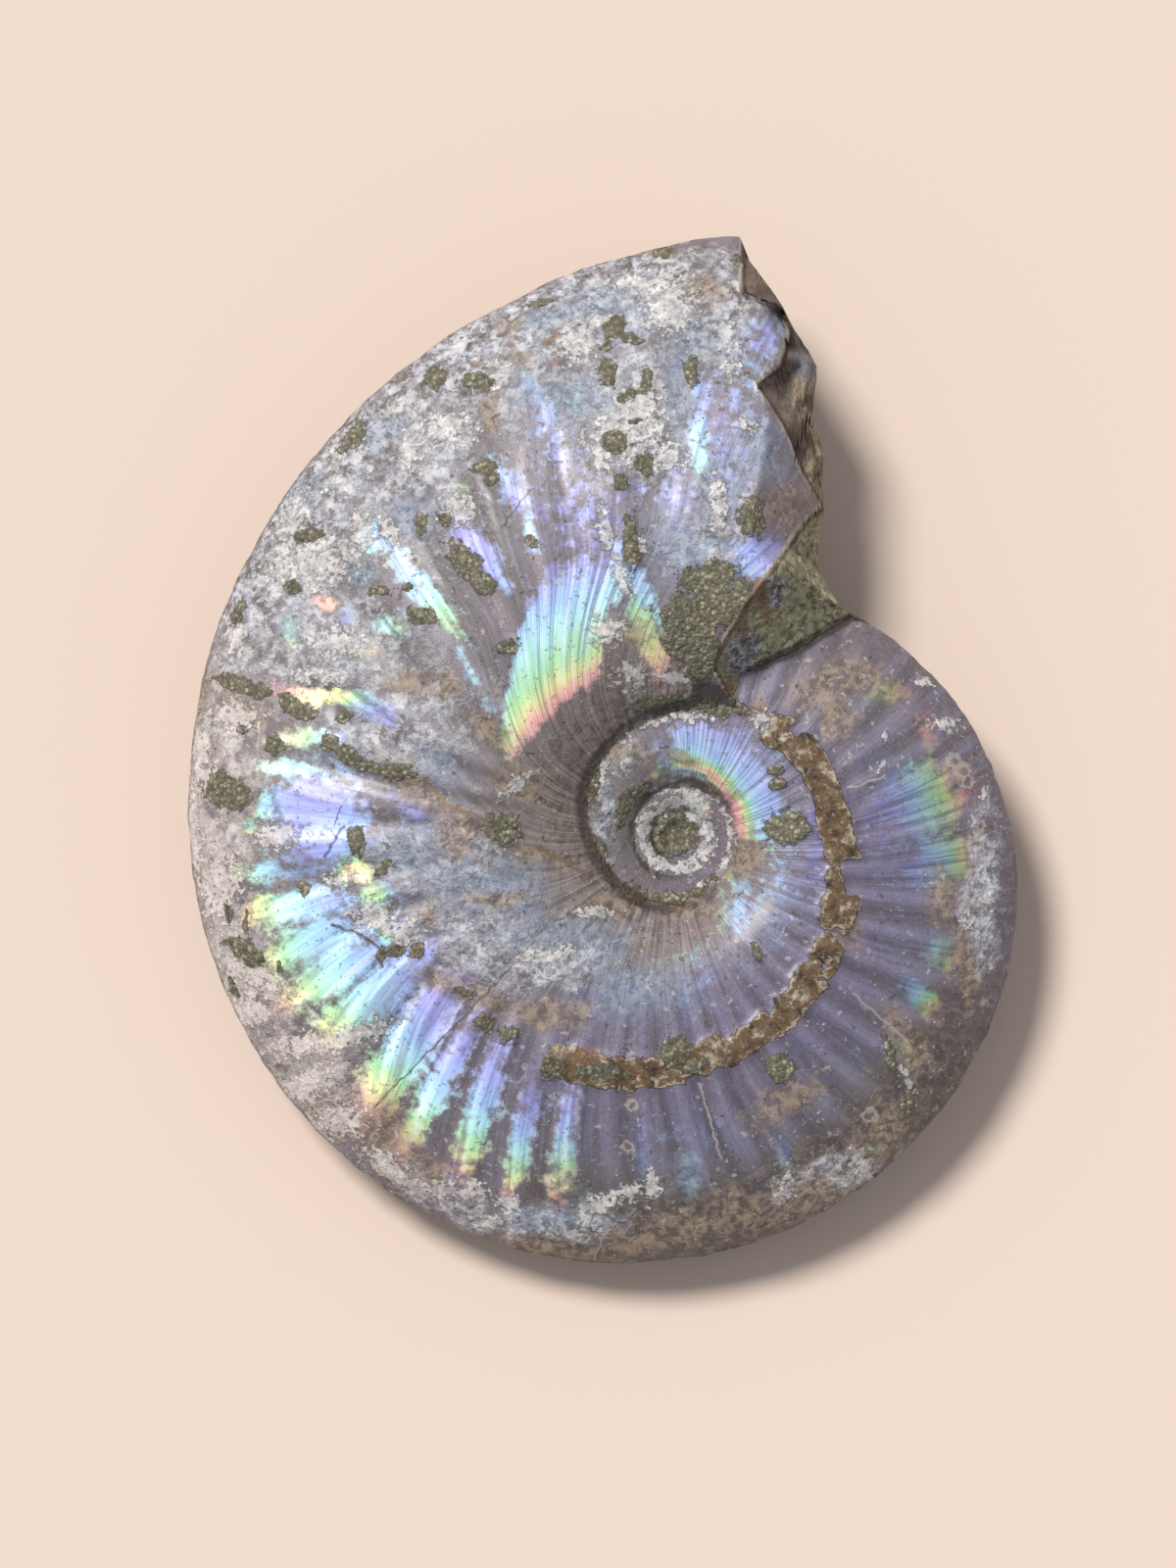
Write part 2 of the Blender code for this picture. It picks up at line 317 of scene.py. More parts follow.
# Places on the front face are given by their column and row in the photograph. A patch is the
# place of its middle, its half width and height in pixels and its turn in degrees anticlockwise.
PIXEL = 0.09 * MM
AXIS_PIXEL = (690, 855)
FRONT_SAND = (
    (362, 448, 10, 18, -37), (432, 537, 7, 10, 0), (455, 533, 4, 9, 25), (316, 548, 14, 7, 10),
    (300, 601, 9, 6, 0), (390, 605, 13, 4, -5), (418, 603, 5, 5, 0), (432, 632, 15, 9, -10),
    (243, 627, 5, 14, -30), (447, 388, 10, 12, -30), (487, 392, 18, 8, -5), (550, 310, 12, 5, 0),
    (628, 340, 10, 12, 0), (618, 355, 6, 6, 0), (645, 352, 12, 5, 0), (620, 385, 10, 17, 0),
    (657, 400, 6, 11, -20), (645, 405, 4, 8, 0), (632, 412, 7, 4, -10), (660, 385, 5, 5, 0),
    (625, 457, 12, 13, 10), (657, 478, 8, 10, 0), (634, 497, 8, 5, 20), (645, 437, 12, 3, 0),
    (495, 482, 12, 6, 10), (503, 493, 5, 8, 0), (755, 268, 7, 4, -20), (705, 385, 7, 16, 0),
    (482, 585, 12, 32, 39), (543, 557, 9, 5, -35), (521, 662, 11, 8, 0), (643, 560, 7, 27, 0),
    (722, 592, 30, 14, 10), (716, 625, 42, 22, 10), (705, 655, 26, 30, 0), (712, 682, 14, 18, 0),
    (747, 612, 20, 16, 30), (764, 533, 12, 19, 0), (240, 697, 26, 7, -15), (265, 706, 16, 5, -5),
    (296, 718, 8, 12, 20), (312, 727, 16, 8, 0), (355, 731, 7, 6, 0), (250, 745, 9, 4, -30),
    (283, 762, 9, 10, 0), (340, 759, 9, 9, 0), (360, 771, 18, 8, -30), (385, 784, 22, 6, -18),
    (411, 788, 16, 9, 0), (228, 805, 21, 18, 0), (242, 812, 14, 14, 0), (367, 857, 8, 14, 10),
    (394, 884, 14, 4, 50), (313, 907, 5, 8, 30), (235, 930, 5, 9, 0), (253, 937, 3, 10, 0),
    (250, 968, 10, 14, 0), (261, 979, 11, 8, 0), (240, 961, 13, 4, 0), (238, 1006, 4, 11, 20),
    (288, 983, 4, 5, 0), (372, 932, 3, 5, 0), (405, 967, 12, 5, -10), (393, 973, 4, 8, 0),
    (427, 968, 10, 5, 30), (476, 1009, 12, 4, -15), (497, 1040, 10, 9, -20), (520, 1053, 10, 9, -40),
    (565, 1085, 12, 12, 0), (612, 1090, 26, 9, 0), (686, 1070, 16, 14, 0), (706, 1085, 14, 6, 20),
    (795, 1086, 15, 14, -20), (906, 1075, 5, 18, 20), (925, 1127, 8, 14, 0), (803, 843, 20, 17, 0),
    (790, 786, 9, 4, 0), (793, 800, 9, 7, 0), (515, 844, 19, 14, -25), (770, 970, 4, 10, 20),
    (688, 851, 24, 22, 0), (680, 719, 36, 9, 6), (735, 722, 26, 8, -4), (637, 826, 7, 20, -20),
    (653, 806, 12, 6, 30), (646, 909, 15, 7, -30), (682, 918, 18, 5, 0), (706, 912, 16, 5, 20),
    (724, 900, 10, 4, 40), (612, 870, 5, 26, 20), (605, 800, 5, 26, -10), (675, 256, 9, 8, 0),
)
FRONT_CRUST = (
    (205, 760, 14, 22, 0), (240, 733, 26, 16, 0), (213, 795, 20, 14, 0), (196, 850, 9, 60, 4),
    (225, 905, 26, 34, 0), (258, 992, 34, 14, -20), (250, 1032, 30, 18, 20), (320, 1064, 50, 12, 6),
    (366, 1054, 36, 9, 15), (312, 1108, 36, 14, 30), (345, 1142, 28, 20, 0), (400, 1192, 34, 12, -35),
    (285, 852, 22, 12, 0), (385, 935, 26, 16, -30), (415, 950, 18, 14, 0), (352, 895, 12, 10, 0),
    (240, 650, 10, 22, 10), (318, 575, 44, 26, 0), (300, 530, 18, 30, -20), (360, 565, 12, 12, 0),
    (372, 545, 12, 20, 0), (345, 655, 30, 16, 0), (330, 690, 30, 8, 0), (470, 525, 18, 16, 0),
    (400, 545, 6, 22, 35), (420, 462, 12, 24, 0), (455, 440, 30, 18, 0), (340, 470, 5, 32, -6),
    (404, 420, 20, 6, 0), (508, 388, 14, 12, 0), (500, 372, 16, 5, 0), (588, 352, 22, 22, 0),
    (612, 332, 22, 8, 0), (682, 318, 26, 30, 0), (650, 292, 26, 10, 0), (640, 450, 40, 26, 0),
    (612, 475, 8, 16, 0), (680, 472, 16, 16, 0), (650, 420, 26, 20, 0), (618, 548, 6, 26, 14),
    (632, 590, 7, 20, 18), (652, 560, 8, 10, 0), (618, 648, 16, 12, 0), (646, 690, 16, 14, 0),
    (686, 692, 18, 8, 0), (730, 520, 8, 26, 0), (745, 384, 12, 8, 0), (760, 440, 10, 8, 0),
    (963, 739, 14, 8, -10), (945, 694, 10, 6, 0), (896, 780, 4, 4, 0), (900, 749, 3, 4, 0),
    (868, 870, 3, 3, 0), (1003, 915, 9, 7, 0), (986, 942, 8, 8, 0), (1006, 808, 5, 9, 0),
    (612, 1224, 20, 10, 10), (640, 1214, 14, 8, 0), (664, 1206, 8, 16, 0), (596, 1240, 6, 12, 0),
    (482, 1214, 14, 9, 0), (520, 1226, 14, 9, 0), (497, 1246, 18, 7, 0), (452, 1212, 16, 10, 0),
    (880, 1192, 12, 16, 20), (858, 1206, 12, 7, 0), (922, 1098, 4, 20, 25), (800, 1210, 8, 18, 0),
    (705, 814, 16, 9, -20), (662, 738, 22, 5, 8), (702, 733, 26, 4, 0), (774, 732, 12, 7, 0),
    (636, 752, 9, 6, 30), (668, 888, 7, 5, 0), (722, 846, 6, 14, 0), (603, 930, 20, 5, 0),
    (655, 850, 6, 24, 0), (686, 818, 22, 7, 10), (690, 884, 22, 5, 0), (722, 868, 6, 14, -30),
    (712, 824, 14, 10, -40), (746, 850, 3, 18, 0), (738, 885, 4, 18, -30), (614, 790, 6, 18, -20),
    (560, 972, 26, 8, 10), (528, 800, 16, 7, 40), (590, 250, 30, 6, 10),
)
FRONT_TAN = (
    (440, 815, 60, 14, -42), (470, 850, 22, 26, -30), (505, 915, 34, 8, 0), (440, 930, 8, 12, 0),
    (545, 868, 32, 9, -16), (530, 800, 22, 20, 0), (500, 745, 26, 12, -40), (420, 700, 26, 14, 0),
    (460, 700, 12, 18, 0), (345, 1140, 40, 24, 0), (420, 1185, 40, 20, -30), (250, 725, 30, 20, 0),
    (205, 705, 14, 20, 0), (620, 925, 40, 10, 10), (700, 925, 30, 10, 0), (480, 1010, 60, 12, -20),
    (560, 1030, 40, 16, 0), (530, 368, 16, 9, 0), (518, 336, 14, 9, 10), (502, 420, 9, 24, 0),
    (720, 300, 26, 14, 0), (640, 650, 26, 14, 0), (850, 735, 20, 24, 0), (845, 700, 40, 20, 20),
    (960, 915, 18, 30, 0), (750, 1240, 26, 26, 0), (700, 1250, 40, 20, 0), (650, 1265, 30, 14, 0),
    (625, 768, 14, 8, 10), (655, 772, 12, 9, -20), (695, 772, 16, 7, -20), (750, 810, 6, 7, 0),
    (760, 870, 14, 26, 0), (800, 520, 26, 20, 0), (820, 1220, 60, 22, 20), (900, 1160, 36, 22, 45),
    (560, 1272, 60, 10, -10), (920, 1060, 16, 40, 30), (880, 690, 40, 14, -30), (985, 990, 12, 40, 10),
    (800, 1120, 40, 16, 30), (860, 940, 16, 30, 0), (395, 1150, 30, 30, 0), (290, 900, 12, 8, 0),
)
FRONT_BLUE = (
    (410, 440, 16, 16, 0), (384, 445, 8, 16, 0), (300, 500, 26, 20, 0), (420, 530, 22, 20, 0),
    (372, 588, 16, 10, 0), (600, 330, 40, 26, 10), (655, 325, 14, 18, 0), (590, 412, 36, 22, -10),
    (635, 300, 24, 10, 0), (700, 350, 20, 26, 0), (560, 330, 26, 12, 0), (735, 500, 22, 40, 0),
    (690, 560, 30, 30, 0), (690, 410, 12, 60, 0), (775, 470, 26, 26, 0), (818, 374, 12, 18, 0), (450, 785, 26, 22, -30),
    (430, 870, 40, 26, 0), (520, 900, 40, 22, 0), (535, 920, 22, 14, 0), (620, 965, 30, 16, 25),
    (580, 950, 60, 20, 0), (640, 1010, 50, 24, 10), (470, 900, 40, 30, 0), (360, 775, 50, 9, -5), (700, 1195, 14, 20, 0),
    (600, 1230, 14, 16, 0), (560, 1240, 50, 12, 0), (300, 640, 12, 12, 0),
)
FRONT_RUST = (
    (562, 350, 12, 5, 22), (569, 344, 6, 4, 0), (568, 373, 5, 5, 0), (488, 375, 5, 3, 0),
    (675, 252, 9, 7, 0), (665, 257, 6, 5, 0), (523, 354, 4, 4, 0), (402, 503, 5, 3, 20),
    (598, 1075, 15, 11, 0), (770, 722, 12, 6, 20), (755, 640, 8, 16, 0), (775, 612, 9, 22, 20),
    (745, 702, 8, 12, -20), (742, 632, 7, 10, 0), (905, 1030, 3, 3, 0),
)
FRONT_CRYSTALS = ((757, 668, 17, 26, -8), (768, 690, 9, 16, 0), (788, 606, 12, 16, 0))

# How widely the two faces are covered by the blotchy grey crust of weathered outer shell.
FRONT_WEATHERED = (
    (290, 560, 80, 130, -25), (400, 470, 100, 90, 40), (520, 360, 130, 70, 25), (660, 310, 90, 60, 0),
    (640, 420, 60, 80, 0), (730, 330, 50, 60, 0), (330, 660, 100, 60, 0), (230, 800, 46, 150, 0),
    (250, 990, 46, 100, 20), (320, 1110, 60, 50, 45), (440, 1210, 60, 22, -30), (560, 1250, 70, 16, 0),
    (560, 985, 60, 20, 10), (480, 960, 60, 50, 0), (430, 870, 60, 40, 0), (400, 730, 70, 50, 0),
    (614, 830, 12, 40, 5), (640, 772, 20, 12, 40), (730, 560, 60, 30, 0), (850, 1200, 60, 22, 20), (1000, 900, 20, 90, 0),
)

# Iridescent flashes, painted reflections of light in the nacre: the patch, its strength, and its hue at
# its left end and at its right end.
VIOLET, BLUE, CYAN, GREEN, YELLOW, PINK = 0.03, 0.18, 0.36, 0.5, 0.65, 0.82
FRONT_FLASHES = (
    ((905, 706, 18, 10, -5), 0.8, GREEN, PINK), ((948, 746, 17, 22, 10), 0.55, PINK, PINK),
    ((935, 815, 50, 34, 15), 0.95, VIOLET, PINK + 0.08), ((954, 880, 40, 22, 15), 0.95, VIOLET, PINK),
    ((957, 968, 26, 18, -30), 0.6, BLUE, PINK), ((937, 1017, 24, 12, -45), 0.85, BLUE, PINK),
    ((916, 1064, 24, 8, -55), 0.7, CYAN, PINK), ((892, 1112, 24, 7, -60), 0.4, GREEN, PINK),
    ((893, 1171, 12, 11, 0), 0.6, CYAN, CYAN), ((797, 1170, 8, 18, 10), 0.7, BLUE, VIOLET),
    ((706, 1190, 9, 26, 0), 0.5, BLUE, CYAN), ((895, 850, 32, 70, 0), 0.4, VIOLET, BLUE),
    ((420, 1065, 80, 24, -127), 1.1, VIOLET, PINK), ((385, 1012, 62, 19, -143), 1.2, BLUE, YELLOW),
    ((345, 990, 64, 17, -150), 1.2, BLUE, PINK), ((318, 960, 47, 15, -155), 1.2, BLUE, YELLOW),
    ((303, 923, 48, 15, -170), 1.1, BLUE, YELLOW), ((275, 892, 34, 13, 180), 0.9, BLUE, GREEN),
    ((345, 975, 60, 50, 30), 0.75, CYAN, BLUE),
    ((446, 1110, 78, 14, -119), 1.0, VIOLET, PINK), ((492, 1130, 76, 14, -108), 0.95, VIOLET, PINK),
    ((533, 1160, 60, 11, -104), 0.85, VIOLET, PINK), ((577, 1160, 62, 11, -97), 0.9, VIOLET, PINK),
    ((655, 1165, 34, 6, -90), 0.5, VIOLET, BLUE), ((396, 952, 16, 8, -50), 0.8, PINK, PINK),
    ((335, 710, 52, 8, -5), 1.0, PINK, GREEN), ((318, 716, 14, 6, 0), 1.1, YELLOW, YELLOW),
    ((389, 727, 26, 13, -20), 1.0, BLUE, VIOLET), ((318, 753, 30, 8, 3), 1.1, YELLOW, BLUE),
    ((300, 785, 34, 7, -4), 1.0, CYAN, GREEN), ((330, 836, 40, 40, -15), 1.25, VIOLET + 0.05, BLUE),
    ((300, 815, 18, 12, 0), 1.0, BLUE, VIOLET), ((276, 824, 11, 15, 0), 0.95, CYAN, CYAN),
    ((256, 842, 14, 7, 0), 0.8, CYAN, GREEN), ((366, 888, 16, 14, 0), 0.95, PINK, PINK - 0.05),
    ((384, 911, 18, 12, 0), 0.85, PINK - 0.06, GREEN), ((352, 916, 24, 8, 10), 0.8, BLUE, BLUE),
    ((335, 618, 13, 8, -20), 0.95, PINK, PINK - 0.06), ((357, 633, 8, 11, 0), 0.8, VIOLET, BLUE),
    ((402, 641, 18, 12, 0), 0.65, CYAN, YELLOW), ((298, 643, 12, 13, 0), 0.7, CYAN, CYAN),
    ((305, 659, 9, 9, 0), 0.65, GREEN, GREEN), ((378, 665, 22, 10, -20), 0.7, YELLOW, PINK),
    ((381, 550, 12, 18, 10), 0.95, CYAN, BLUE), ((372, 590, 14, 8, 0), 0.5, BLUE, CYAN),
    ((430, 600, 58, 11, -50), 1.15, BLUE, YELLOW), ((480, 685, 50, 7, -62), 0.6, CYAN, GREEN),
    ((487, 560, 36, 10, -48), 1.1, VIOLET, BLUE), ((512, 592, 20, 5, -75), 0.9, BLUE, CYAN),
    ((541, 543, 24, 6, -80), 1.0, GREEN, CYAN), ((527, 505, 34, 12, -62), 0.85, BLUE, VIOLET),
    ((560, 440, 90, 22, -62), 0.5, VIOLET, VIOLET), ((600, 540, 50, 60, 0), 0.45, VIOLET, VIOLET),
    ((711, 450, 46, 8, -90), 1.0, BLUE, YELLOW - 0.06), ((590, 412, 30, 18, 0), 0.35, CYAN, BLUE),
    ((745, 430, 34, 90, 0), 0.42, VIOLET, BLUE), ((690, 520, 20, 50, 0), 0.5, BLUE, VIOLET),
    ((735, 470, 60, 10, -85), 0.65, VIOLET, VIOLET), ((778, 350, 28, 26, 0), 0.6, VIOLET, VIOLET),
    ((638, 580, 70, 9, -58), 0.9, BLUE, CYAN),
    ((770, 572, 26, 20, 20), 1.1, BLUE, VIOLET), ((726, 560, 24, 8, 15), 0.7, CYAN, BLUE),
    ((800, 506, 12, 12, 0), 0.5, VIOLET, VIOLET), ((655, 502, 10, 5, 0), 0.8, VIOLET, BLUE),
    ((669, 464, 8, 4, 0), 0.7, VIOLET, BLUE), ((660, 655, 46, 12, -65), 1.0, GREEN, PINK),
    ((632, 600, 14, 30, 0), 0.7, CYAN, CYAN), ((735, 770, 60, 26, 0), 0.7, VIOLET, BLUE),
    ((800, 900, 30, 60, -15), 0.5, BLUE, VIOLET), ((830, 860, 9, 60, -3), 0.8, VIOLET, VIOLET),
    ((752, 925, 18, 34, -10), 0.6, BLUE, VIOLET), ((708, 1000, 30, 40, 0), 0.4, BLUE, VIOLET),
    ((752, 838, 7, 12, 0), 1.0, PINK, PINK), ((710, 824, 12, 10, 0), 0.8, CYAN, YELLOW),
    ((440, 835, 44, 20, -30), 0.5, BLUE, VIOLET), ((700, 1150, 60, 30, 0), 0.25, BLUE, VIOLET),
    ((430, 965, 60, 8, 20), 0.5, BLUE, VIOLET), ((618, 822, 10, 40, 0), 0.4, VIOLET, VIOLET),
)
# Painted light and shade on the flashes round the coil: brighter on the left, which faces the light,
# and darker on the right, which turns away from it.
FLASH_PAINTED_LIGHT = (
    (0, 0.5), (40, 0.5), (80, 0.95), (110, 1.05), (150, 1.15), (175, 1.3), (200, 1.35), (225, 1.35), (245, 1.0),
    (265, 0.62), (300, 0.42), (360, 0.5),
)
# How brown the dull nacre is round the coil: violet on the right and brown-grey on the left.
BROWNNESS = ((0, 0.15), (50, 0.35), (90, 0.5), (120, 0.8), (160, 1.0), (200, 0.8), (240, 0.3), (280, 0.14), (330, 0.1), (360, 0.12))
# How deep the grime and painted shade lie in the seams round the coil: deep on the left, where the
# seams turn away from the light, and slight on the right.
SEAM_SHADE_AND_GRIME = ((0, 0.35), (50, 0.6), (90, 1.0), (230, 1.0), (270, 0.7), (320, 0.4), (360, 0.35))
# Two rainbows, painted reflections of light in the nacre, run round the coil. Their hue goes by the
# distance from the axis in pixels. The fan starts at one growth line and ends at others, given in
# degrees at each distance. The arc lies on the inner whorl between two angles and moves outwards by
# some pixels to each degree.
FAN_HUES = ((172, 0.95), (184, 0.82), (195, 0.66), (212, 0.5), (245, 0.37), (280, 0.2), (330, 0.05))
FAN_START = 35.0
FAN_END = ((175, 82), (205, 80), (230, 70), (290, 60), (340, 58))
ARC_HUES = ((58, 0.98), (62, 0.86), (66, 0.72), (69, 0.6), (73, 0.46), (79, 0.34), (90, 0.2), (120, 0.08))
ARC_START = -6.0
ARC_LENGTH = 106.0
ARC_WIDENING = 0.14


def nearness_to(column, row, half_width, half_height, tilt):
    """Nearness to a patch: 1 in its middle, 0.5 at its edge, 0 far off. And the place along it."""
    across = wavy_x - (column - AXIS_PIXEL[0]) * PIXEL
    up = wavy_y - (AXIS_PIXEL[1] - row) * PIXEL
    cos, sin = math.cos(math.radians(tilt)), math.sin(math.radians(tilt))
    along_x = (across * cos + up * sin) / (half_width * PIXEL)
    along_y = (up * cos - across * sin) / (half_height * PIXEL)
    return 0.5 ** (along_x**2 + along_y**2), along_x


def highest(patches):
    best = np.zeros(count)
    for patch in patches:
        best = np.maximum(best, nearness_to(*patch)[0])
    return best * on_front


on_front = side > 0
spots = np.stack([flat_x, flat_y, side * 30.0 * MM], axis=1)
coarse = roughness_field(spots, 6.0 * MM, 3, 1)
middle = roughness_field(spots, 1.6 * MM, 3, 2)
crosswise = roughness_field(spots, 1.6 * MM, 3, 4)
fine = roughness_field(spots, 0.6 * MM, 2, 3)
wavy_x = flat_x + (0.35 * middle + 0.15 * fine) * MM
wavy_y = flat_y + (0.35 * crosswise - 0.15 * fine) * MM

# How much of each cover there is at each place. The back, which the photograph doesn't show, has
# crust and sand in patches of the same kind.
back_sand = 0.75 * smooth_step(0.30, 0.52, coarse + 0.3 * middle)
sand = np.where(on_front, highest(FRONT_SAND), back_sand)
crust = np.where(on_front, highest(FRONT_CRUST), 0.7 * smooth_step(0.1, 0.5, crosswise))
axis_distance = np.hypot(wavy_x, wavy_y) / PIXEL
cream_ring = smooth_step(22.0, 27.0, axis_distance) * (1.0 - smooth_step(34.0, 42.0, axis_distance))
flaky_ring = smooth_step(48.0, 52.0, axis_distance) * (1.0 - smooth_step(55.0, 61.0, axis_distance))
flaky_ring = flaky_ring * smooth_step(-0.6, 0.2, np.cos(np.radians(angle - 20.0)))
crust = np.maximum(crust, np.maximum(0.85 * cream_ring, 0.6 * flaky_ring) * on_front)
weathered = np.where(on_front, highest(FRONT_WEATHERED), 0.3 + 0.5 * smooth_step(-0.3, 0.3, coarse))
tan = np.where(on_front, highest(FRONT_TAN), 0.6 * smooth_step(0.2, 0.5, coarse))
blue = highest(FRONT_BLUE)
rust = highest(FRONT_RUST)
crystals = highest(FRONT_CRYSTALS)
ledge = ledge_shape(radius + (0.45 * middle + 0.5 * coarse) * MM, first_turn) * (turn == first_turn)
ledge = ledge * smooth_step(-0.75, -0.35, coarse + 0.65 * middle)
crest = rib_crest(share, turn) * rib_reach(share, turn)

# Relief that only weathering gives: sand and crust stand a little proud of the shell, the broken
# face is rough, and the rim is chipped.
height = height + smooth_step(0.42, 0.62, sand) * (0.16 + 0.14 * fine) * MM
height = height + smooth_step(0.40, 0.60, crust) * 0.07 * MM
height = height + LEDGE_HEIGHT * ledge * (0.65 + 0.6 * middle)
height = height + broken_mask * (0.50 * middle + 0.30 * fine + 0.30 * crosswise) * MM
height = height + 0.05 * MM * middle * smooth_step(0.4, 0.9, share) + 0.12 * MM * coarse * share
height = np.where(at_rim, 0.0, np.maximum(height, 0.0))
chipping = np.abs(middle) * 0.12 * MM + np.abs(coarse) * 0.3 * MM
rim_nearness = smooth_step(0.90, 1.0, radius / outline_radius(angle))
worn_radius = radius - chipping * rim_nearness

places = np.stack(
    [worn_radius * np.cos(direction), worn_radius * np.sin(direction), side * height], axis=1
)
turned = Matrix.Rotation(math.radians(LIE_TURN_Y), 3, "Y")
turned = turned @ Matrix.Rotation(math.radians(LIE_TURN_X), 3, "X")
places = places @ np.array(turned).T + np.array(AXIS_FOOT)
places = np.clip(places, np.array(cad_box[0]), np.array(cad_box[1]))
fossil.data.vertices.foreach_set("co", places.ravel())
fossil.data.update()
bpy.ops.object.shade_smooth()

# Nacre changes its hue with the tilt of the surface, from violet on the flat flank over cyan,
# green and yellow to pink: its iridescence, painted on as a fixed colour. That law gives the dull
# colours; the flashes, painted reflections, are laid over it.
slope_step = 0.01
flank_slope = (plain_flank(share + slope_step, turn) - plain_flank(share - slope_step, turn)) / (
    2.0 * slope_step * (rim_radius(turn) - seam_radius(turn))
)
tilt = np.degrees(np.arctan(flank_slope))
law_phase = np.where(tilt > 0.0, (tilt + 4.0) / 40.0, (-tilt - 8.0) / 24.0)
law_phase = np.clip(law_phase + 0.10 * (0.5 - crest) + 0.10 * coarse, 0.0, 1.0)
# A faint painted reflection, as of a window, on the outer flank where it tilts 9 to 36 degrees, stronger on the rib
# crests.
outer_window = smooth_step(9.0, 14.0, -tilt) * (1.0 - smooth_step(29.0, 36.0, -tilt))
flash = 0.25 * outer_window * (0.4 + 0.6 * crest) * smooth_step(-0.1, 0.5, coarse)
weight = np.full(count, 0.06)
phase = law_phase * weight


def lay_flash(nearness, strength, hue):
    global flash, weight, phase
    flash = np.maximum(flash, strength * nearness)
    weight = weight + (strength * nearness) ** 2
    phase = phase + hue * (strength * nearness) ** 2


for patch, strength, first_hue, last_hue in FRONT_FLASHES:
    nearness, place = nearness_to(*patch)
    run = np.clip(0.5 + 0.5 * place, 0.0, 1.0) ** 1.6
    lay_flash(nearness * on_front, strength, first_hue + (last_hue - first_hue) * run)
line = growth_line(share, turn) + 1.5 * fine
fan = smooth_step(FAN_START, FAN_START + 4.0, line) * (turn == first_turn)
fan = fan * (1.0 - smooth_step(-5.0, 3.0, line - along(FAN_END, axis_distance)))
fan = fan * smooth_step(168.0, 194.0, axis_distance) * (1.0 - smooth_step(240.0, 330.0, axis_distance))
fan = fan * (1.0 - 0.45 * smooth_step(62.0, 80.0, line))
lay_flash(fan * on_front, 1.3, along(FAN_HUES, axis_distance))
from_start = (angle - ARC_START) % 360.0
distance = axis_distance - ARC_WIDENING * from_start
arc = smooth_step(0.0, 12.0, from_start) * (1.0 - smooth_step(ARC_LENGTH - 20.0, ARC_LENGTH, from_start))
arc = arc * smooth_step(58.0, 62.0, distance) * (1.0 - smooth_step(86.0, 120.0, distance))
lay_flash(arc * on_front, 1.6, along(ARC_HUES, distance))
phase = phase / weight

# Grime and painted shade in the seams between whorls and at the foot of the broken face.
from_seam = (radius - seam_radius(turn)) * np.exp(GROWTH * (turn - first_turn)) / MM
hollow = smooth_step(1.7, 0.4, from_seam) * along(SEAM_SHADE_AND_GRIME, angle) * (radius > CORE_RADIUS)
hollow = np.maximum(hollow, foot)


def keep_field(name, values):
    field = fossil.data.attributes.new(name, "FLOAT", "POINT")
    field.data.foreach_set("value", np.clip(values, -2.0, 2.0).astype(np.float32))


def keep_vector_field(name, columns):
    field = fossil.data.attributes.new(name, "FLOAT_VECTOR", "POINT")
    field.data.foreach_set("vector", np.stack(columns, axis=1).astype(np.float32).ravel())


keep_field("phase", phase)
keep_field("flash", flash)
# Painted light and shade of the ribs: crests lighter and grooves darker along the flank of the last whorl.
fold = smooth_step(0.10, 0.30, share) * (1.0 - smooth_step(0.80, 0.97, share)) * (turn == first_turn)
keep_field("crest", rib_crest(share, turn) * fold)
keep_field("groove", (1.0 - rib_crest(share, turn)) * fold)
# Painted light and shade on the flashes, by the angle round the coil, and near full on the inner whorls.
inner_flash_painted_light = 0.95 * (1.0 - smooth_step(9.0 * MM, 12.0 * MM, radius))
keep_field("flash_painted_light", np.maximum(along(FLASH_PAINTED_LIGHT, angle), inner_flash_painted_light))
keep_field("sand", sand)
keep_field("crust", crust)
keep_field("weathered", weathered)
keep_field("tan", tan)
keep_field("blue", blue)
keep_field("rust", rust)
keep_field("crystals", crystals)
keep_field("ledge", ledge)
keep_field("broken", broken_mask)
at_edge = near_mouth & on_front & (radius > BREAK_EDGE[0][0] * MM)
to_outline = radius * np.radians(angle - along(BREAK_OUTLINE, radius / MM))
keep_field("outline", smooth_step(3.2 * MM, 0.8 * MM, to_outline) * smooth_step(46.0 * MM, 41.0 * MM, flat_y))
keep_field("past_edge", np.where(at_edge, beyond_edge / MM, -2.0))
keep_field("hollow", hollow)
keep_field("wall", smooth_step(0.22, 0.08, share) * (turn == first_turn) * (0.2 + 0.8 * along(SEAM_SHADE_AND_GRIME, angle)))
keep_field("brown", along(BROWNNESS, angle))
outer_edge = smooth_step(0.70, 0.84, share)
keep_field("margin", outer_edge * smooth_step(150.0, 172.0, angle) * smooth_step(242.0, 215.0, angle))
keep_field("low_margin", outer_edge * smooth_step(238.0, 255.0, angle) * smooth_step(350.0, 320.0, angle))
growth_angle = np.radians(growth_line(share, turn))
keep_vector_field("growth", (np.cos(growth_angle), np.sin(growth_angle), share + side))
keep_vector_field("layout", (flat_x / MM, flat_y / MM, 30.0 * (side < 0)))


# The fossil's finish: nacre with fine growth lines and painted iridescent reflections, under blotches
# of weathered outer shell, white crust, grey-green sandstone, honey-brown calcite along the trace of
# the lost whorl, and grime with painted shade in the seams. Each cover has its own ragged mask and
# lies over the ones before it.
def colour(red, green, blue):
    """A colour from screen values of 0 to 255."""
    linear = [((value / 255.0 + 0.055) / 1.055) ** 2.4 for value in (red, green, blue)]
    return (*linear, 1.0)


def set_or_link(tree, socket, value):
    if isinstance(value, bpy.types.NodeSocket):
        tree.links.new(value, socket)
    else:
        socket.default_value = value


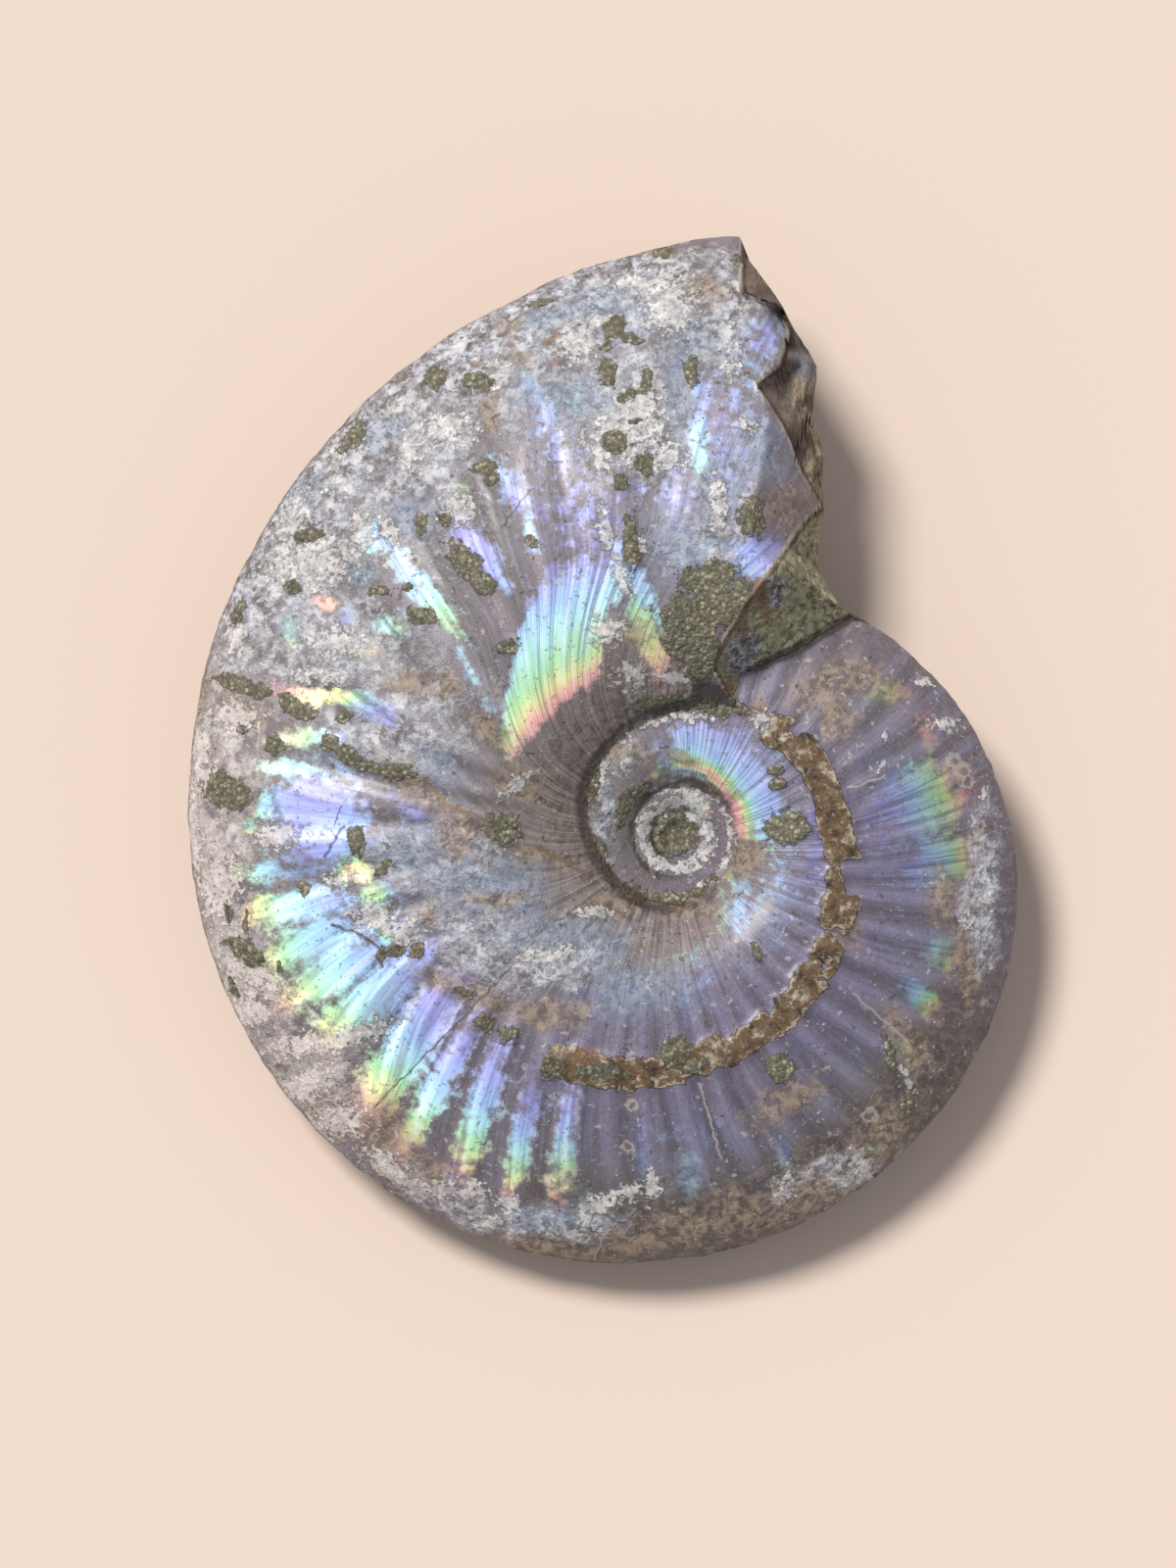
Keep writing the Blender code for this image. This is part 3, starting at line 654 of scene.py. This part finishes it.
def add_node(tree, kind, settings=None, numbered=(), **named):
    made = tree.nodes.new(kind)
    for name, value in (settings or {}).items():
        setattr(made, name, value)
    for place, value in enumerate(numbered):
        set_or_link(tree, made.inputs[place], value)
    for name, value in named.items():
        set_or_link(tree, made.inputs[name], value)
    return made


def maths(tree, operation, *values, clamp=False):
    settings = {"operation": operation, "use_clamp": clamp}
    return add_node(tree, "ShaderNodeMath", settings, values).outputs[0]


def vector_maths(tree, operation, *values):
    return add_node(tree, "ShaderNodeVectorMath", {"operation": operation}, values).outputs[0]


def new_group(name, places, numbers, outputs):
    group = bpy.data.node_groups.new(name, "ShaderNodeTree")
    for socket in places:
        group.interface.new_socket(socket, in_out="INPUT", socket_type="NodeSocketVector")
    for socket in numbers:
        group.interface.new_socket(socket, in_out="INPUT", socket_type="NodeSocketFloat")
    for socket in outputs:
        group.interface.new_socket(socket, in_out="OUTPUT", socket_type="NodeSocketFloat")
    return group, group.nodes.new("NodeGroupInput").outputs, group.nodes.new("NodeGroupOutput").inputs


# A patch with a ragged edge: a field that falls from 1 to 0 across the patch's edge, eaten into
# by noise and cut at one half.
ragged, given, result = new_group(
    "ragged_patch", ("Place",), ("Amount", "Scale", "Raggedness", "Softness"), ("Mask",)
)
eaten = add_node(
    ragged, "ShaderNodeTexNoise", Vector=given["Place"], Scale=given["Scale"], Detail=4.0, Roughness=0.65
).outputs["Fac"]
shift = maths(ragged, "MULTIPLY", maths(ragged, "SUBTRACT", eaten, 0.5), given["Raggedness"])
cut = maths(ragged, "SUBTRACT", maths(ragged, "ADD", given["Amount"], shift), 0.5)
mask = maths(ragged, "ADD", maths(ragged, "DIVIDE", cut, given["Softness"]), 0.5, clamp=True)
ragged.links.new(mask, result["Mask"])

# Flecks: noise cut high, so that only its peaks show.
flecks, given, result = new_group("flecks", ("Place",), ("Scale", "Level", "Softness"), ("Mask",))
peaks = add_node(
    flecks, "ShaderNodeTexNoise", Vector=given["Place"], Scale=given["Scale"], Detail=3.0, Roughness=0.6
).outputs["Fac"]
above = maths(flecks, "SUBTRACT", peaks, given["Level"])
flecks.links.new(maths(flecks, "DIVIDE", above, given["Softness"], clamp=True), result["Mask"])

# How far a place is from the middle of a boring, in the boring's radii.
boring, given, result = new_group("boring", ("Place", "Centre"), ("Radius",), ("Reach",))
apart = vector_maths(boring, "SUBTRACT", given["Place"], given["Centre"])
distance = add_node(boring, "ShaderNodeVectorMath", {"operation": "LENGTH"}, (apart,)).outputs["Value"]
boring.links.new(maths(boring, "DIVIDE", distance, given["Radius"]), result["Reach"])

# How far a place is from a scratch that runs between two others, in the scratch's widths.
scratch, given, result = new_group("scratch", ("Place", "From", "To"), ("Width",), ("Reach",))
from_start = vector_maths(scratch, "SUBTRACT", given["Place"], given["From"])
whole = vector_maths(scratch, "SUBTRACT", given["To"], given["From"])
dot = add_node(scratch, "ShaderNodeVectorMath", {"operation": "DOT_PRODUCT"}, (from_start, whole)).outputs["Value"]
square = add_node(scratch, "ShaderNodeVectorMath", {"operation": "DOT_PRODUCT"}, (whole, whole)).outputs["Value"]
run = maths(scratch, "DIVIDE", dot, square, clamp=True)
nearest = add_node(scratch, "ShaderNodeVectorMath", {"operation": "SCALE"}, (whole,), Scale=run).outputs[0]
apart = vector_maths(scratch, "SUBTRACT", from_start, nearest)
distance = add_node(scratch, "ShaderNodeVectorMath", {"operation": "LENGTH"}, (apart,)).outputs["Value"]
scratch.links.new(maths(scratch, "DIVIDE", distance, given["Width"]), result["Reach"])

nacre = bpy.data.materials.new("weathered_nacre")
nacre.use_nodes = True
tree = nacre.node_tree
shader = tree.nodes["Principled BSDF"]


def field_of(name, output="Fac"):
    return add_node(tree, "ShaderNodeAttribute", {"attribute_name": name}).outputs[output]


def noise_of(place, scale, detail=3.0, roughness=0.55, distortion=0.0):
    return add_node(
        tree, "ShaderNodeTexNoise", Vector=place, Scale=scale, Detail=detail, Roughness=roughness,
        Distortion=distortion,
    ).outputs["Fac"]


def patch_of(amount, scale, raggedness, softness):
    return add_node(
        tree, "ShaderNodeGroup", {"node_tree": ragged}, Place=place_mm, Amount=amount, Scale=scale,
        Raggedness=raggedness, Softness=softness,
    ).outputs["Mask"]


def flecks_of(place, scale, level, softness):
    return add_node(
        tree, "ShaderNodeGroup", {"node_tree": flecks}, Place=place, Scale=scale, Level=level, Softness=softness
    ).outputs["Mask"]


def ramp_of(value, *stops):
    made = add_node(tree, "ShaderNodeValToRGB", Fac=value)
    elements = made.color_ramp.elements
    while len(elements) < len(stops):
        elements.new(1.0)
    for element, (position, shade) in zip(elements, stops):
        element.position = position
        element.color = colour(*shade)
    return made.outputs["Color"]


def over(below, mask, above, strength=1.0):
    """Lay a colour over another, through a mask."""
    made = add_node(tree, "ShaderNodeMix", {"data_type": "RGBA"})
    share = maths(tree, "MULTIPLY", mask, strength)
    for place, value in ((0, share), (6, below), (7, above)):
        set_or_link(tree, made.inputs[place], value)
    return made.outputs[2]


def shaded(below, value, depth):
    """Darken and lighten a colour by a value round one half."""
    factor = maths(tree, "MULTIPLY_ADD", maths(tree, "SUBTRACT", value, 0.5), depth, 1.0)
    return add_node(tree, "ShaderNodeVectorMath", {"operation": "SCALE"}, (below,), Scale=factor).outputs[0]


def sharper(value, gain, middle=0.5):
    """A mask from a noise: 1 above the middle, 0 below, with an edge as sharp as the gain."""
    return maths(tree, "MULTIPLY_ADD", maths(tree, "SUBTRACT", value, middle), gain, 0.5, clamp=True)


place_mm = add_node(
    tree, "ShaderNodeVectorMath", {"operation": "SCALE"},
    (add_node(tree, "ShaderNodeTexCoord").outputs["Object"],), Scale=1000.0,
).outputs[0]
layout_mm = field_of("layout", "Vector")
growth_place = field_of("growth", "Vector")
striae = noise_of(vector_maths(tree, "MULTIPLY", growth_place, (46.0, 46.0, 2.6)), 1.0, 3.0, 0.62)
broad_striae = noise_of(vector_maths(tree, "MULTIPLY", growth_place, (24.0, 24.0, 2.2)), 1.0, 3.0)
blotches = noise_of(place_mm, 0.42, 5.0, 0.68, 0.8)
small_blotches = noise_of(place_mm, 1.1, 4.0, 0.7, 0.5)
crumb = noise_of(place_mm, 3.4, 3.0, 0.7)
bent = add_node(tree, "ShaderNodeTexNoise", Vector=place_mm, Scale=1.3, Detail=2.0).outputs["Color"]
bent = vector_maths(tree, "MULTIPLY_ADD", bent, (1.6, 1.6, 1.6), place_mm)
flake_cells = add_node(tree, "ShaderNodeTexVoronoi", Vector=bent, Scale=1.7)
flakes = add_node(tree, "ShaderNodeSeparateXYZ", None, (flake_cells.outputs["Color"],)).outputs["X"]

# Dull nacre: violet-grey, browner in blotches, streaked along the growth lines.
hue = maths(tree, "ADD", field_of("phase"), maths(tree, "MULTIPLY_ADD", broad_striae, 0.16, -0.08))
hue = maths(tree, "ADD", hue, maths(tree, "MULTIPLY_ADD", small_blotches, 0.16, -0.08))
shell = ramp_of(
    hue, (0.0, (104, 93, 115)), (0.2, (102, 97, 120)), (0.38, (104, 104, 116)), (0.52, (113, 106, 104)),
    (0.68, (118, 105, 99)), (0.85, (112, 97, 97)), (1.0, (102, 91, 93)),
)
brown_shell = over(colour(114, 104, 99), sharper(small_blotches, 5.0), colour(150, 142, 141))
shell = over(shell, field_of("brown"), brown_shell, 0.8)
wall_shell = over(colour(98, 84, 77), sharper(small_blotches, 5.0), colour(142, 129, 121))
shell = over(shell, sharper(blotches, 5.0, 0.54), colour(104, 93, 92), 0.6)
shell = over(shell, sharper(small_blotches, 6.0, 0.55), colour(86, 78, 104), 0.5)
shell = over(shell, sharper(small_blotches, -7.0, 0.44), colour(132, 126, 158), 0.4)
# Painted highlight on the rib crests and painted shade in the grooves between them.
shell = over(shell, field_of("crest"), colour(128, 122, 156), 0.35)
shell = over(shell, field_of("groove"), colour(66, 60, 76), 0.5)
shell = over(shell, sharper(striae, 6.0, 0.58), colour(160, 156, 176), 0.18)
shell = over(shell, sharper(striae, -7.0, 0.40), colour(72, 66, 78), 0.25)
shell = over(shell, sharper(broad_striae, 7.0, 0.57), colour(124, 128, 186), 0.18)
greyer_shell = add_node(tree, "ShaderNodeHueSaturation", Saturation=0.35, Color=shell).outputs[0]
greyer_shell = vector_maths(tree, "MULTIPLY", greyer_shell, (1.14, 1.04, 0.97))
shell = over(shell, field_of("brown"), greyer_shell, 0.85)
olive_brown = over(colour(68, 60, 50), sharper(small_blotches, 6.0), colour(114, 104, 92))
shell = over(shell, field_of("low_margin"), olive_brown, 0.75)
wall_shell = over(wall_shell, sharper(striae, 7.0, 0.54), colour(184, 174, 168), 0.45)
wall_shell = over(wall_shell, sharper(striae, -8.0, 0.42), colour(74, 62, 56), 0.4)
shell = over(shell, field_of("wall"), wall_shell, 0.85)
shell = shaded(shell, crumb, 0.7)

# Flashes, painted iridescent reflections in clear colours of the spectrum, streaked along the growth lines too.
bright = ramp_of(
    hue, (0.0, (146, 140, 206)), (0.12, (160, 166, 236)), (0.26, (160, 200, 246)), (0.38, (178, 232, 240)),
    (0.50, (176, 234, 174)), (0.64, (240, 242, 168)), (0.74, (252, 208, 172)), (0.86, (242, 162, 174)),
    (1.0, (190, 132, 158)),
)
bright = over(bright, sharper(striae, 7.0, 0.57), colour(238, 240, 246), 0.48)
bright = over(bright, sharper(striae, -8.0, 0.43), colour(96, 94, 124), 0.6)
flash_field = field_of("flash")
flash_mask = patch_of(flash_field, 0.9, 1.8, 0.48)
# The flashes are painted brighter on the side facing the light and darker on the side turned away from it.
bright = add_node(tree, "ShaderNodeVectorMath", {"operation": "SCALE"}, (bright,), Scale=field_of("flash_painted_light")).outputs[0]
shell = over(shell, flash_mask, bright, 0.92)

# Weathered outer shell, in blotches of grey, blue-grey, brown and white. It leaves the flashes free.
weathered_field = maths(tree, "MULTIPLY_ADD", flash_field, -0.75, field_of("weathered"))
weathered_mask = patch_of(weathered_field, 0.5, 1.8, 0.5)
weathered_noise = noise_of(place_mm, 0.75, 5.0, 0.70, 0.35)
weathered_tone = maths(tree, "MULTIPLY_ADD", flakes, 0.20, maths(tree, "ADD", weathered_noise, -0.095))
weathered_colour = ramp_of(
    weathered_tone, (0.33, (88, 82, 78)), (0.385, (116, 110, 108)), (0.43, (126, 121, 119)),
    (0.445, (146, 140, 140)), (0.49, (142, 147, 162)), (0.505, (170, 172, 184)), (0.55, (182, 183, 194)),
    (0.565, (198, 200, 206)), (0.63, (206, 207, 210)), (0.65, (222, 221, 219)),
)
weathered_colour = shaded(weathered_colour, crumb, 0.8)
# Painted highlight on the rib crests and painted shade in the grooves, on the weathered shell too.
weathered_colour = over(weathered_colour, field_of("crest"), colour(204, 206, 218), 0.28)
weathered_colour = over(weathered_colour, field_of("groove"), colour(98, 94, 102), 0.30)
margin_colour = over(colour(138, 121, 116), sharper(blotches, 9.0, 0.49), colour(214, 200, 192))
weathered_colour = over(weathered_colour, field_of("margin"), margin_colour, 0.6)
shell = over(shell, weathered_mask, weathered_colour, 0.88)
blue_mask = patch_of(field_of("blue"), 0.8, 1.4, 0.7)
shell = over(shell, blue_mask, over(colour(92, 112, 140), sharper(small_blotches, 5.0), colour(164, 178, 196)), 0.5)
tan_mask = patch_of(field_of("tan"), 0.9, 1.7, 0.5)
shell = over(shell, tan_mask, over(colour(100, 86, 76), sharper(small_blotches, 6.0), colour(168, 148, 126)), 0.7)

# White crust, thick enough to have an edge, and flecks of it everywhere.
crust_mask = patch_of(field_of("crust"), 1.7, 3.0, 0.30)
crust_colour = shaded(over(colour(170, 167, 168), sharper(small_blotches, 5.0), colour(220, 217, 214)), crumb, 0.8)
crust_colour = shaded(crust_colour, flakes, 0.3)
crust_colour = over(crust_colour, field_of("margin"), colour(230, 212, 203), 0.4)
shell = over(shell, crust_mask, crust_colour, 0.8)
white_flecks = flecks_of(place_mm, 1.2, 0.63, 0.06)
shell = over(shell, white_flecks, colour(206, 202, 204), 0.4)
dark_flecks = flecks_of(vector_maths(tree, "ADD", place_mm, (40.0, 0.0, 0.0)), 1.2, 0.655, 0.05)
fewer_on_flashes = maths(tree, "MULTIPLY_ADD", flash_mask, -0.7, 1.0)
shell = over(shell, maths(tree, "MULTIPLY", dark_flecks, fewer_on_flashes), colour(78, 70, 62), 0.65)

# Borings and scratches, at their places on the front face in pixels of the photograph. Scratches of
# the same shade stand together.
BORINGS = (
    (395, 571, 7.0), (424, 577, 6.0), (433, 600, 4.5), (972, 777, 6.0), (981, 786, 6.5), (986, 797, 6.0),
    (999, 843, 5.0), (993, 861, 6.5), (596, 1262, 4.5), (301, 1001, 4.5), (288, 1091, 11.0),
    (383, 1158, 4.0), (640, 1167, 5.0), (644, 1124, 5.0), (886, 1137, 6.5), (580, 1196, 6.0),
)
SCRATCHES = (
    ((78, 71, 58), (
        ((383, 1128), (523, 984), 0.9), ((343, 942), (372, 952), 1.6), ((372, 952), (400, 972), 1.6),
        ((514, 541), (545, 502), 0.9),
    )),
    ((65, 67, 110), (((335, 873), (354, 842), 1.3), ((344, 843), (352, 822), 0.8))),
    ((126, 104, 82), (
        ((523, 984), (572, 925), 0.8), ((436, 795), (458, 822), 2.0), ((458, 822), (500, 836), 2.0),
        ((545, 862), (600, 892), 2.2),
    )),
    ((165, 158, 158), (
        ((712, 1102), (735, 1180), 1.1), ((868, 1012), (925, 1062), 1.1), ((862, 804), (900, 792), 1.0),
        ((604, 1288), (619, 1251), 0.8),
    )),
)


def on_face(column, row):
    return ((column - AXIS_PIXEL[0]) * PIXEL / MM, (AXIS_PIXEL[1] - row) * PIXEL / MM, 0.0)


NOWHERE_NEAR = 100.0
reach = NOWHERE_NEAR
for column, row, pixels in BORINGS:
    made = add_node(
        tree, "ShaderNodeGroup", {"node_tree": boring}, Place=layout_mm, Centre=on_face(column, row),
        Radius=pixels * PIXEL / MM,
    )
    reach = maths(tree, "MINIMUM", reach, made.outputs["Reach"])
uneven = noise_of(layout_mm, 1.6, 3.0, 0.5)
reach = maths(tree, "MULTIPLY_ADD", uneven, 2.6, maths(tree, "SUBTRACT", reach, 1.3))
from_ring = maths(tree, "ABSOLUTE", maths(tree, "SUBTRACT", reach, 1.0))
ring_mask = maths(tree, "MULTIPLY_ADD", from_ring, -3.0, 1.5, clamp=True)
pit_mask = maths(tree, "MULTIPLY_ADD", reach, -4.0, 3.0, clamp=True)
shell = over(shell, ring_mask, colour(186, 178, 166), 0.55)
shell = over(shell, pit_mask, colour(112, 102, 92), 0.55)
shaken = add_node(tree, "ShaderNodeTexNoise", Vector=layout_mm, Scale=1.2, Detail=1.0).outputs["Color"]
shaken = vector_maths(tree, "SUBTRACT", shaken, (0.5, 0.5, 0.5))
shaken_place = vector_maths(tree, "MULTIPLY_ADD", shaken, (0.6, 0.6, 0.0), layout_mm)
for shade, lines in SCRATCHES:
    reach = NOWHERE_NEAR
    for first_end, last_end, pixels in lines:
        made = add_node(
            tree, "ShaderNodeGroup", {"node_tree": scratch}, Place=shaken_place,
            From=on_face(*first_end), To=on_face(*last_end), Width=pixels * PIXEL / MM,
        )
        reach = maths(tree, "MINIMUM", reach, made.outputs["Reach"])
    shell = over(shell, maths(tree, "SUBTRACT", 1.5, reach, clamp=True), colour(*shade), 0.8)

# Honey-brown calcite, with cream flakes along its edges, on the ledge that the lost whorl left.
ledge_field = field_of("ledge")
calcite_mask = patch_of(ledge_field, 1.1, 1.1, 0.14)
calcite_core = patch_of(maths(tree, "MULTIPLY", ledge_field, 0.62), 1.1, 1.1, 0.14)
calcite_tone = noise_of(place_mm, 0.55, 5.0, 0.66, 0.5)
calcite = ramp_of(
    calcite_tone, (0.35, (66, 50, 40)), (0.43, (98, 80, 66)), (0.49, (130, 100, 66)), (0.53, (112, 93, 77)),
    (0.59, (148, 128, 106)), (0.65, (204, 188, 162)),
)
calcite = shaded(calcite, crumb, 0.6)
flaky = sharper(noise_of(place_mm, 0.8, 4.0, 0.72), 9.0, 0.50)
rim_mask = maths(tree, "MULTIPLY", maths(tree, "SUBTRACT", 1.0, calcite_core), flaky)
calcite = over(calcite, rim_mask, colour(206, 192, 168), 0.85)
surface = over(shell, calcite_mask, calcite)

# The broken mouth: brown calcite and its laminae next to the shell's edge, a painted shadow just past
# that edge, khaki sandstone further down, grey crystals where a chamber is cut open, and rust.
past_edge = field_of("past_edge")
broken_field = field_of("broken")
broken_cut = patch_of(broken_field, 1.5, 0.5, 0.2)
# The khaki sandstone of the broken face is paler than the sand on the flank: partly its own colour and partly painted
# light, as the key light barely reaches this face.
stone_tone = noise_of(place_mm, 1.3, 5.0, 0.75, 0.6)
stone = ramp_of(
    stone_tone, (0.34, (88, 84, 66)), (0.44, (142, 138, 112)), (0.52, (176, 172, 142)), (0.60, (204, 198, 168)),
    (0.70, (232, 226, 202)),
)
height_on_face = add_node(tree, "ShaderNodeSeparateXYZ", None, (layout_mm,)).outputs["Y"]
upper_part = sharper(maths(tree, "MULTIPLY_ADD", small_blotches, 3.0, height_on_face), 0.9, 30.5)
laminae = noise_of(vector_maths(tree, "MULTIPLY", place_mm, (2.0, 0.5, 0.6)), 1.0, 4.0, 0.62, 0.5)
cream_laminae = ramp_of(
    laminae, (0.36, (104, 90, 78)), (0.46, (134, 118, 102)), (0.53, (160, 144, 120)), (0.60, (204, 190, 164)),
    (0.66, (150, 136, 120)),
)
brown_calcite = over(colour(116, 100, 92), sharper(small_blotches, 4.0), colour(140, 124, 114))
brown_calcite = over(brown_calcite, patch_of(field_of("outline"), 1.1, 0.8, 0.3), cream_laminae)
stone = over(stone, upper_part, brown_calcite)
stone = over(stone, patch_of(field_of("blue"), 0.8, 0.6, 0.4), colour(126, 128, 140), 0.75)
crystal_colour = ramp_of(
    flake_cells.outputs["Distance"], (0.30, (112, 113, 120)), (0.52, (150, 150, 154)), (0.66, (190, 190, 190)),
)
crystal_colour = shaded(crystal_colour, flakes, 0.8)
stone = over(stone, patch_of(field_of("crystals"), 1.5, 0.8, 0.15), crystal_colour)
surface = over(surface, broken_cut, stone)
edge_line = maths(tree, "MULTIPLY", sharper(past_edge, 6.0, -0.32), sharper(past_edge, -6.0, 0.06))
surface = over(surface, edge_line, over(colour(120, 98, 80), crumb, colour(214, 204, 190)), 0.8)
# A painted shadow just past the shell's broken edge, where the edge steps down to the filling.
shadow_under_shell_edge = maths(tree, "MULTIPLY", sharper(past_edge, 7.0, 0.06), sharper(past_edge, -5.0, 0.42))
surface = over(surface, shadow_under_shell_edge, colour(64, 50, 42), 0.6)
rust_mask = patch_of(field_of("rust"), 1.6, 1.3, 0.25)
surface = over(surface, rust_mask, over(colour(96, 68, 50), small_blotches, colour(172, 130, 92)), 0.6)

# Grey-green sandstone: olive grains, some pale, with dark gaps between them.
sand_field = field_of("sand")
sand_mask = patch_of(maths(tree, "MULTIPLY", sand_field, 1.06), 1.2, 1.4, 0.12)
cells = add_node(tree, "ShaderNodeTexVoronoi", Vector=place_mm, Scale=3.1)
grain_tone = add_node(tree, "ShaderNodeSeparateXYZ", None, (cells.outputs["Color"],)).outputs["X"]
sandstone = ramp_of(
    grain_tone, (0.0, (94, 91, 76)), (0.4, (116, 112, 94)), (0.8, (136, 131, 112)), (0.97, (172, 166, 146)),
)
grain_gap = maths(tree, "MULTIPLY_ADD", cells.outputs["Distance"], 3.2, -1.15, clamp=True)
sandstone = over(sandstone, grain_gap, colour(72, 69, 54), 0.5)
sandstone = shaded(sandstone, crumb, 0.7)
surface = over(surface, sand_mask, sandstone)

# Grime and painted shade in the seams: a dark brown laid over them.
hollow_mask = patch_of(field_of("hollow"), 1.4, 1.1, 0.4)
surface = over(surface, hollow_mask, colour(60, 49, 41), 0.75)
tree.links.new(surface, shader.inputs["Base Color"])

# Polish: nacre and calcite shine, crust, sandstone and weathered shell don't.
matt = maths(tree, "MAXIMUM", maths(tree, "MAXIMUM", sand_mask, broken_cut), maths(tree, "MULTIPLY", crust_mask, 0.7))
matt = maths(tree, "MAXIMUM", matt, maths(tree, "MULTIPLY", weathered_mask, 0.55))
polish = maths(tree, "SUBTRACT", 1.0, matt, clamp=True)
rough = maths(tree, "MULTIPLY_ADD", matt, 0.36, 0.44)
rough = maths(tree, "MULTIPLY_ADD", small_blotches, 0.16, rough)
tree.links.new(rough, shader.inputs["Roughness"])
tree.links.new(maths(tree, "MULTIPLY", polish, 0.14), shader.inputs["Coat Weight"])
shader.inputs["Coat Roughness"].default_value = 0.2
tree.links.new(maths(tree, "MULTIPLY", polish, 0.12), shader.inputs["Metallic"])

# Relief too fine for the mesh: growth lines, crumbs of crust, the crust's edges and sand grains.
relief = maths(tree, "MULTIPLY", striae, 0.07)
relief = maths(tree, "ADD", relief, maths(tree, "MULTIPLY", crumb, maths(tree, "MULTIPLY_ADD", matt, 0.12, 0.03)))
relief = maths(tree, "ADD", relief, maths(tree, "MULTIPLY", crust_mask, 0.08))
relief = maths(tree, "ADD", relief, maths(tree, "MULTIPLY", maths(tree, "MULTIPLY", weathered_noise, weathered_mask), 0.28))
rough_stone = maths(tree, "MULTIPLY", stone_tone, maths(tree, "MAXIMUM", broken_cut, calcite_mask))
relief = maths(tree, "ADD", relief, maths(tree, "MULTIPLY", rough_stone, 0.6))
grain_height = maths(tree, "MULTIPLY_ADD", cells.outputs["Distance"], -0.14, 0.2)
relief = maths(tree, "ADD", relief, maths(tree, "MULTIPLY", grain_height, sand_mask))
relief = maths(tree, "MULTIPLY_ADD", dark_flecks, -0.06, relief)
bump = add_node(tree, "ShaderNodeBump", Strength=1.0, Distance=MM, Height=relief)
tree.links.new(bump.outputs["Normal"], shader.inputs["Normal"])

fossil.data.materials.append(nacre)
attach(fossil, "root")
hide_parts("ammonite")


# The table: a plain pale sheet.
bpy.ops.object.select_all(action="DESELECT")
bpy.ops.mesh.primitive_plane_add(size=3.0)
table = bpy.context.object
table.name = "table"
paper = bpy.data.materials.new("pale_paper")
paper.use_nodes = True
paper.node_tree.nodes["Principled BSDF"].inputs["Base Color"].default_value = colour(217, 198, 185)
paper.node_tree.nodes["Principled BSDF"].inputs["Roughness"].default_value = 0.9
table.data.materials.append(paper)


# Light: one soft key from the upper left, and a pale sky all round.
world = bpy.data.worlds.new("soft_room")
world.use_nodes = True
world.node_tree.nodes["Background"].inputs["Color"].default_value = (0.92, 0.95, 1.0, 1.0)
world.node_tree.nodes["Background"].inputs["Strength"].default_value = 0.42
bpy.context.scene.world = world
bpy.ops.object.light_add(type="SUN")
key = bpy.context.object
key.name = "key"
key.data.energy = 3.4
key.data.angle = math.radians(16.0)
key.data.color = (1.0, 0.965, 0.92)
KEY_FROM = Vector((-0.45, 0.50, 1.0))
key.rotation_euler = KEY_FROM.to_track_quat("Z", "Y").to_euler()


# The camera looks along the coil's axis, from far off.
CAMERA_FAR = 0.6
PHOTO_MIDDLE = (600, 800)
PHOTO_HEIGHT = 1600
middle_of_view = Vector((
    (PHOTO_MIDDLE[0] - AXIS_PIXEL[0]) * PIXEL, (AXIS_PIXEL[1] - PHOTO_MIDDLE[1]) * PIXEL, 0.0
))
camera_data = bpy.data.cameras.new("camera")
camera = bpy.data.objects.new("camera", camera_data)
bpy.context.scene.collection.objects.link(camera)
bpy.context.scene.camera = camera
camera.matrix_world = Matrix.Translation(Vector(AXIS_FOOT)) @ turned.to_4x4() @ Matrix.Translation(
    middle_of_view + Vector((0.0, 0.0, CAMERA_FAR))
)
camera_data.sensor_fit = "AUTO"
camera_data.sensor_width = 36.0
camera_data.lens = 36.0 * CAMERA_FAR / (PHOTO_HEIGHT * PIXEL)
camera_data.clip_start = 0.01
camera_data.clip_end = 10.0
bpy.context.scene.view_settings.view_transform = "Standard"
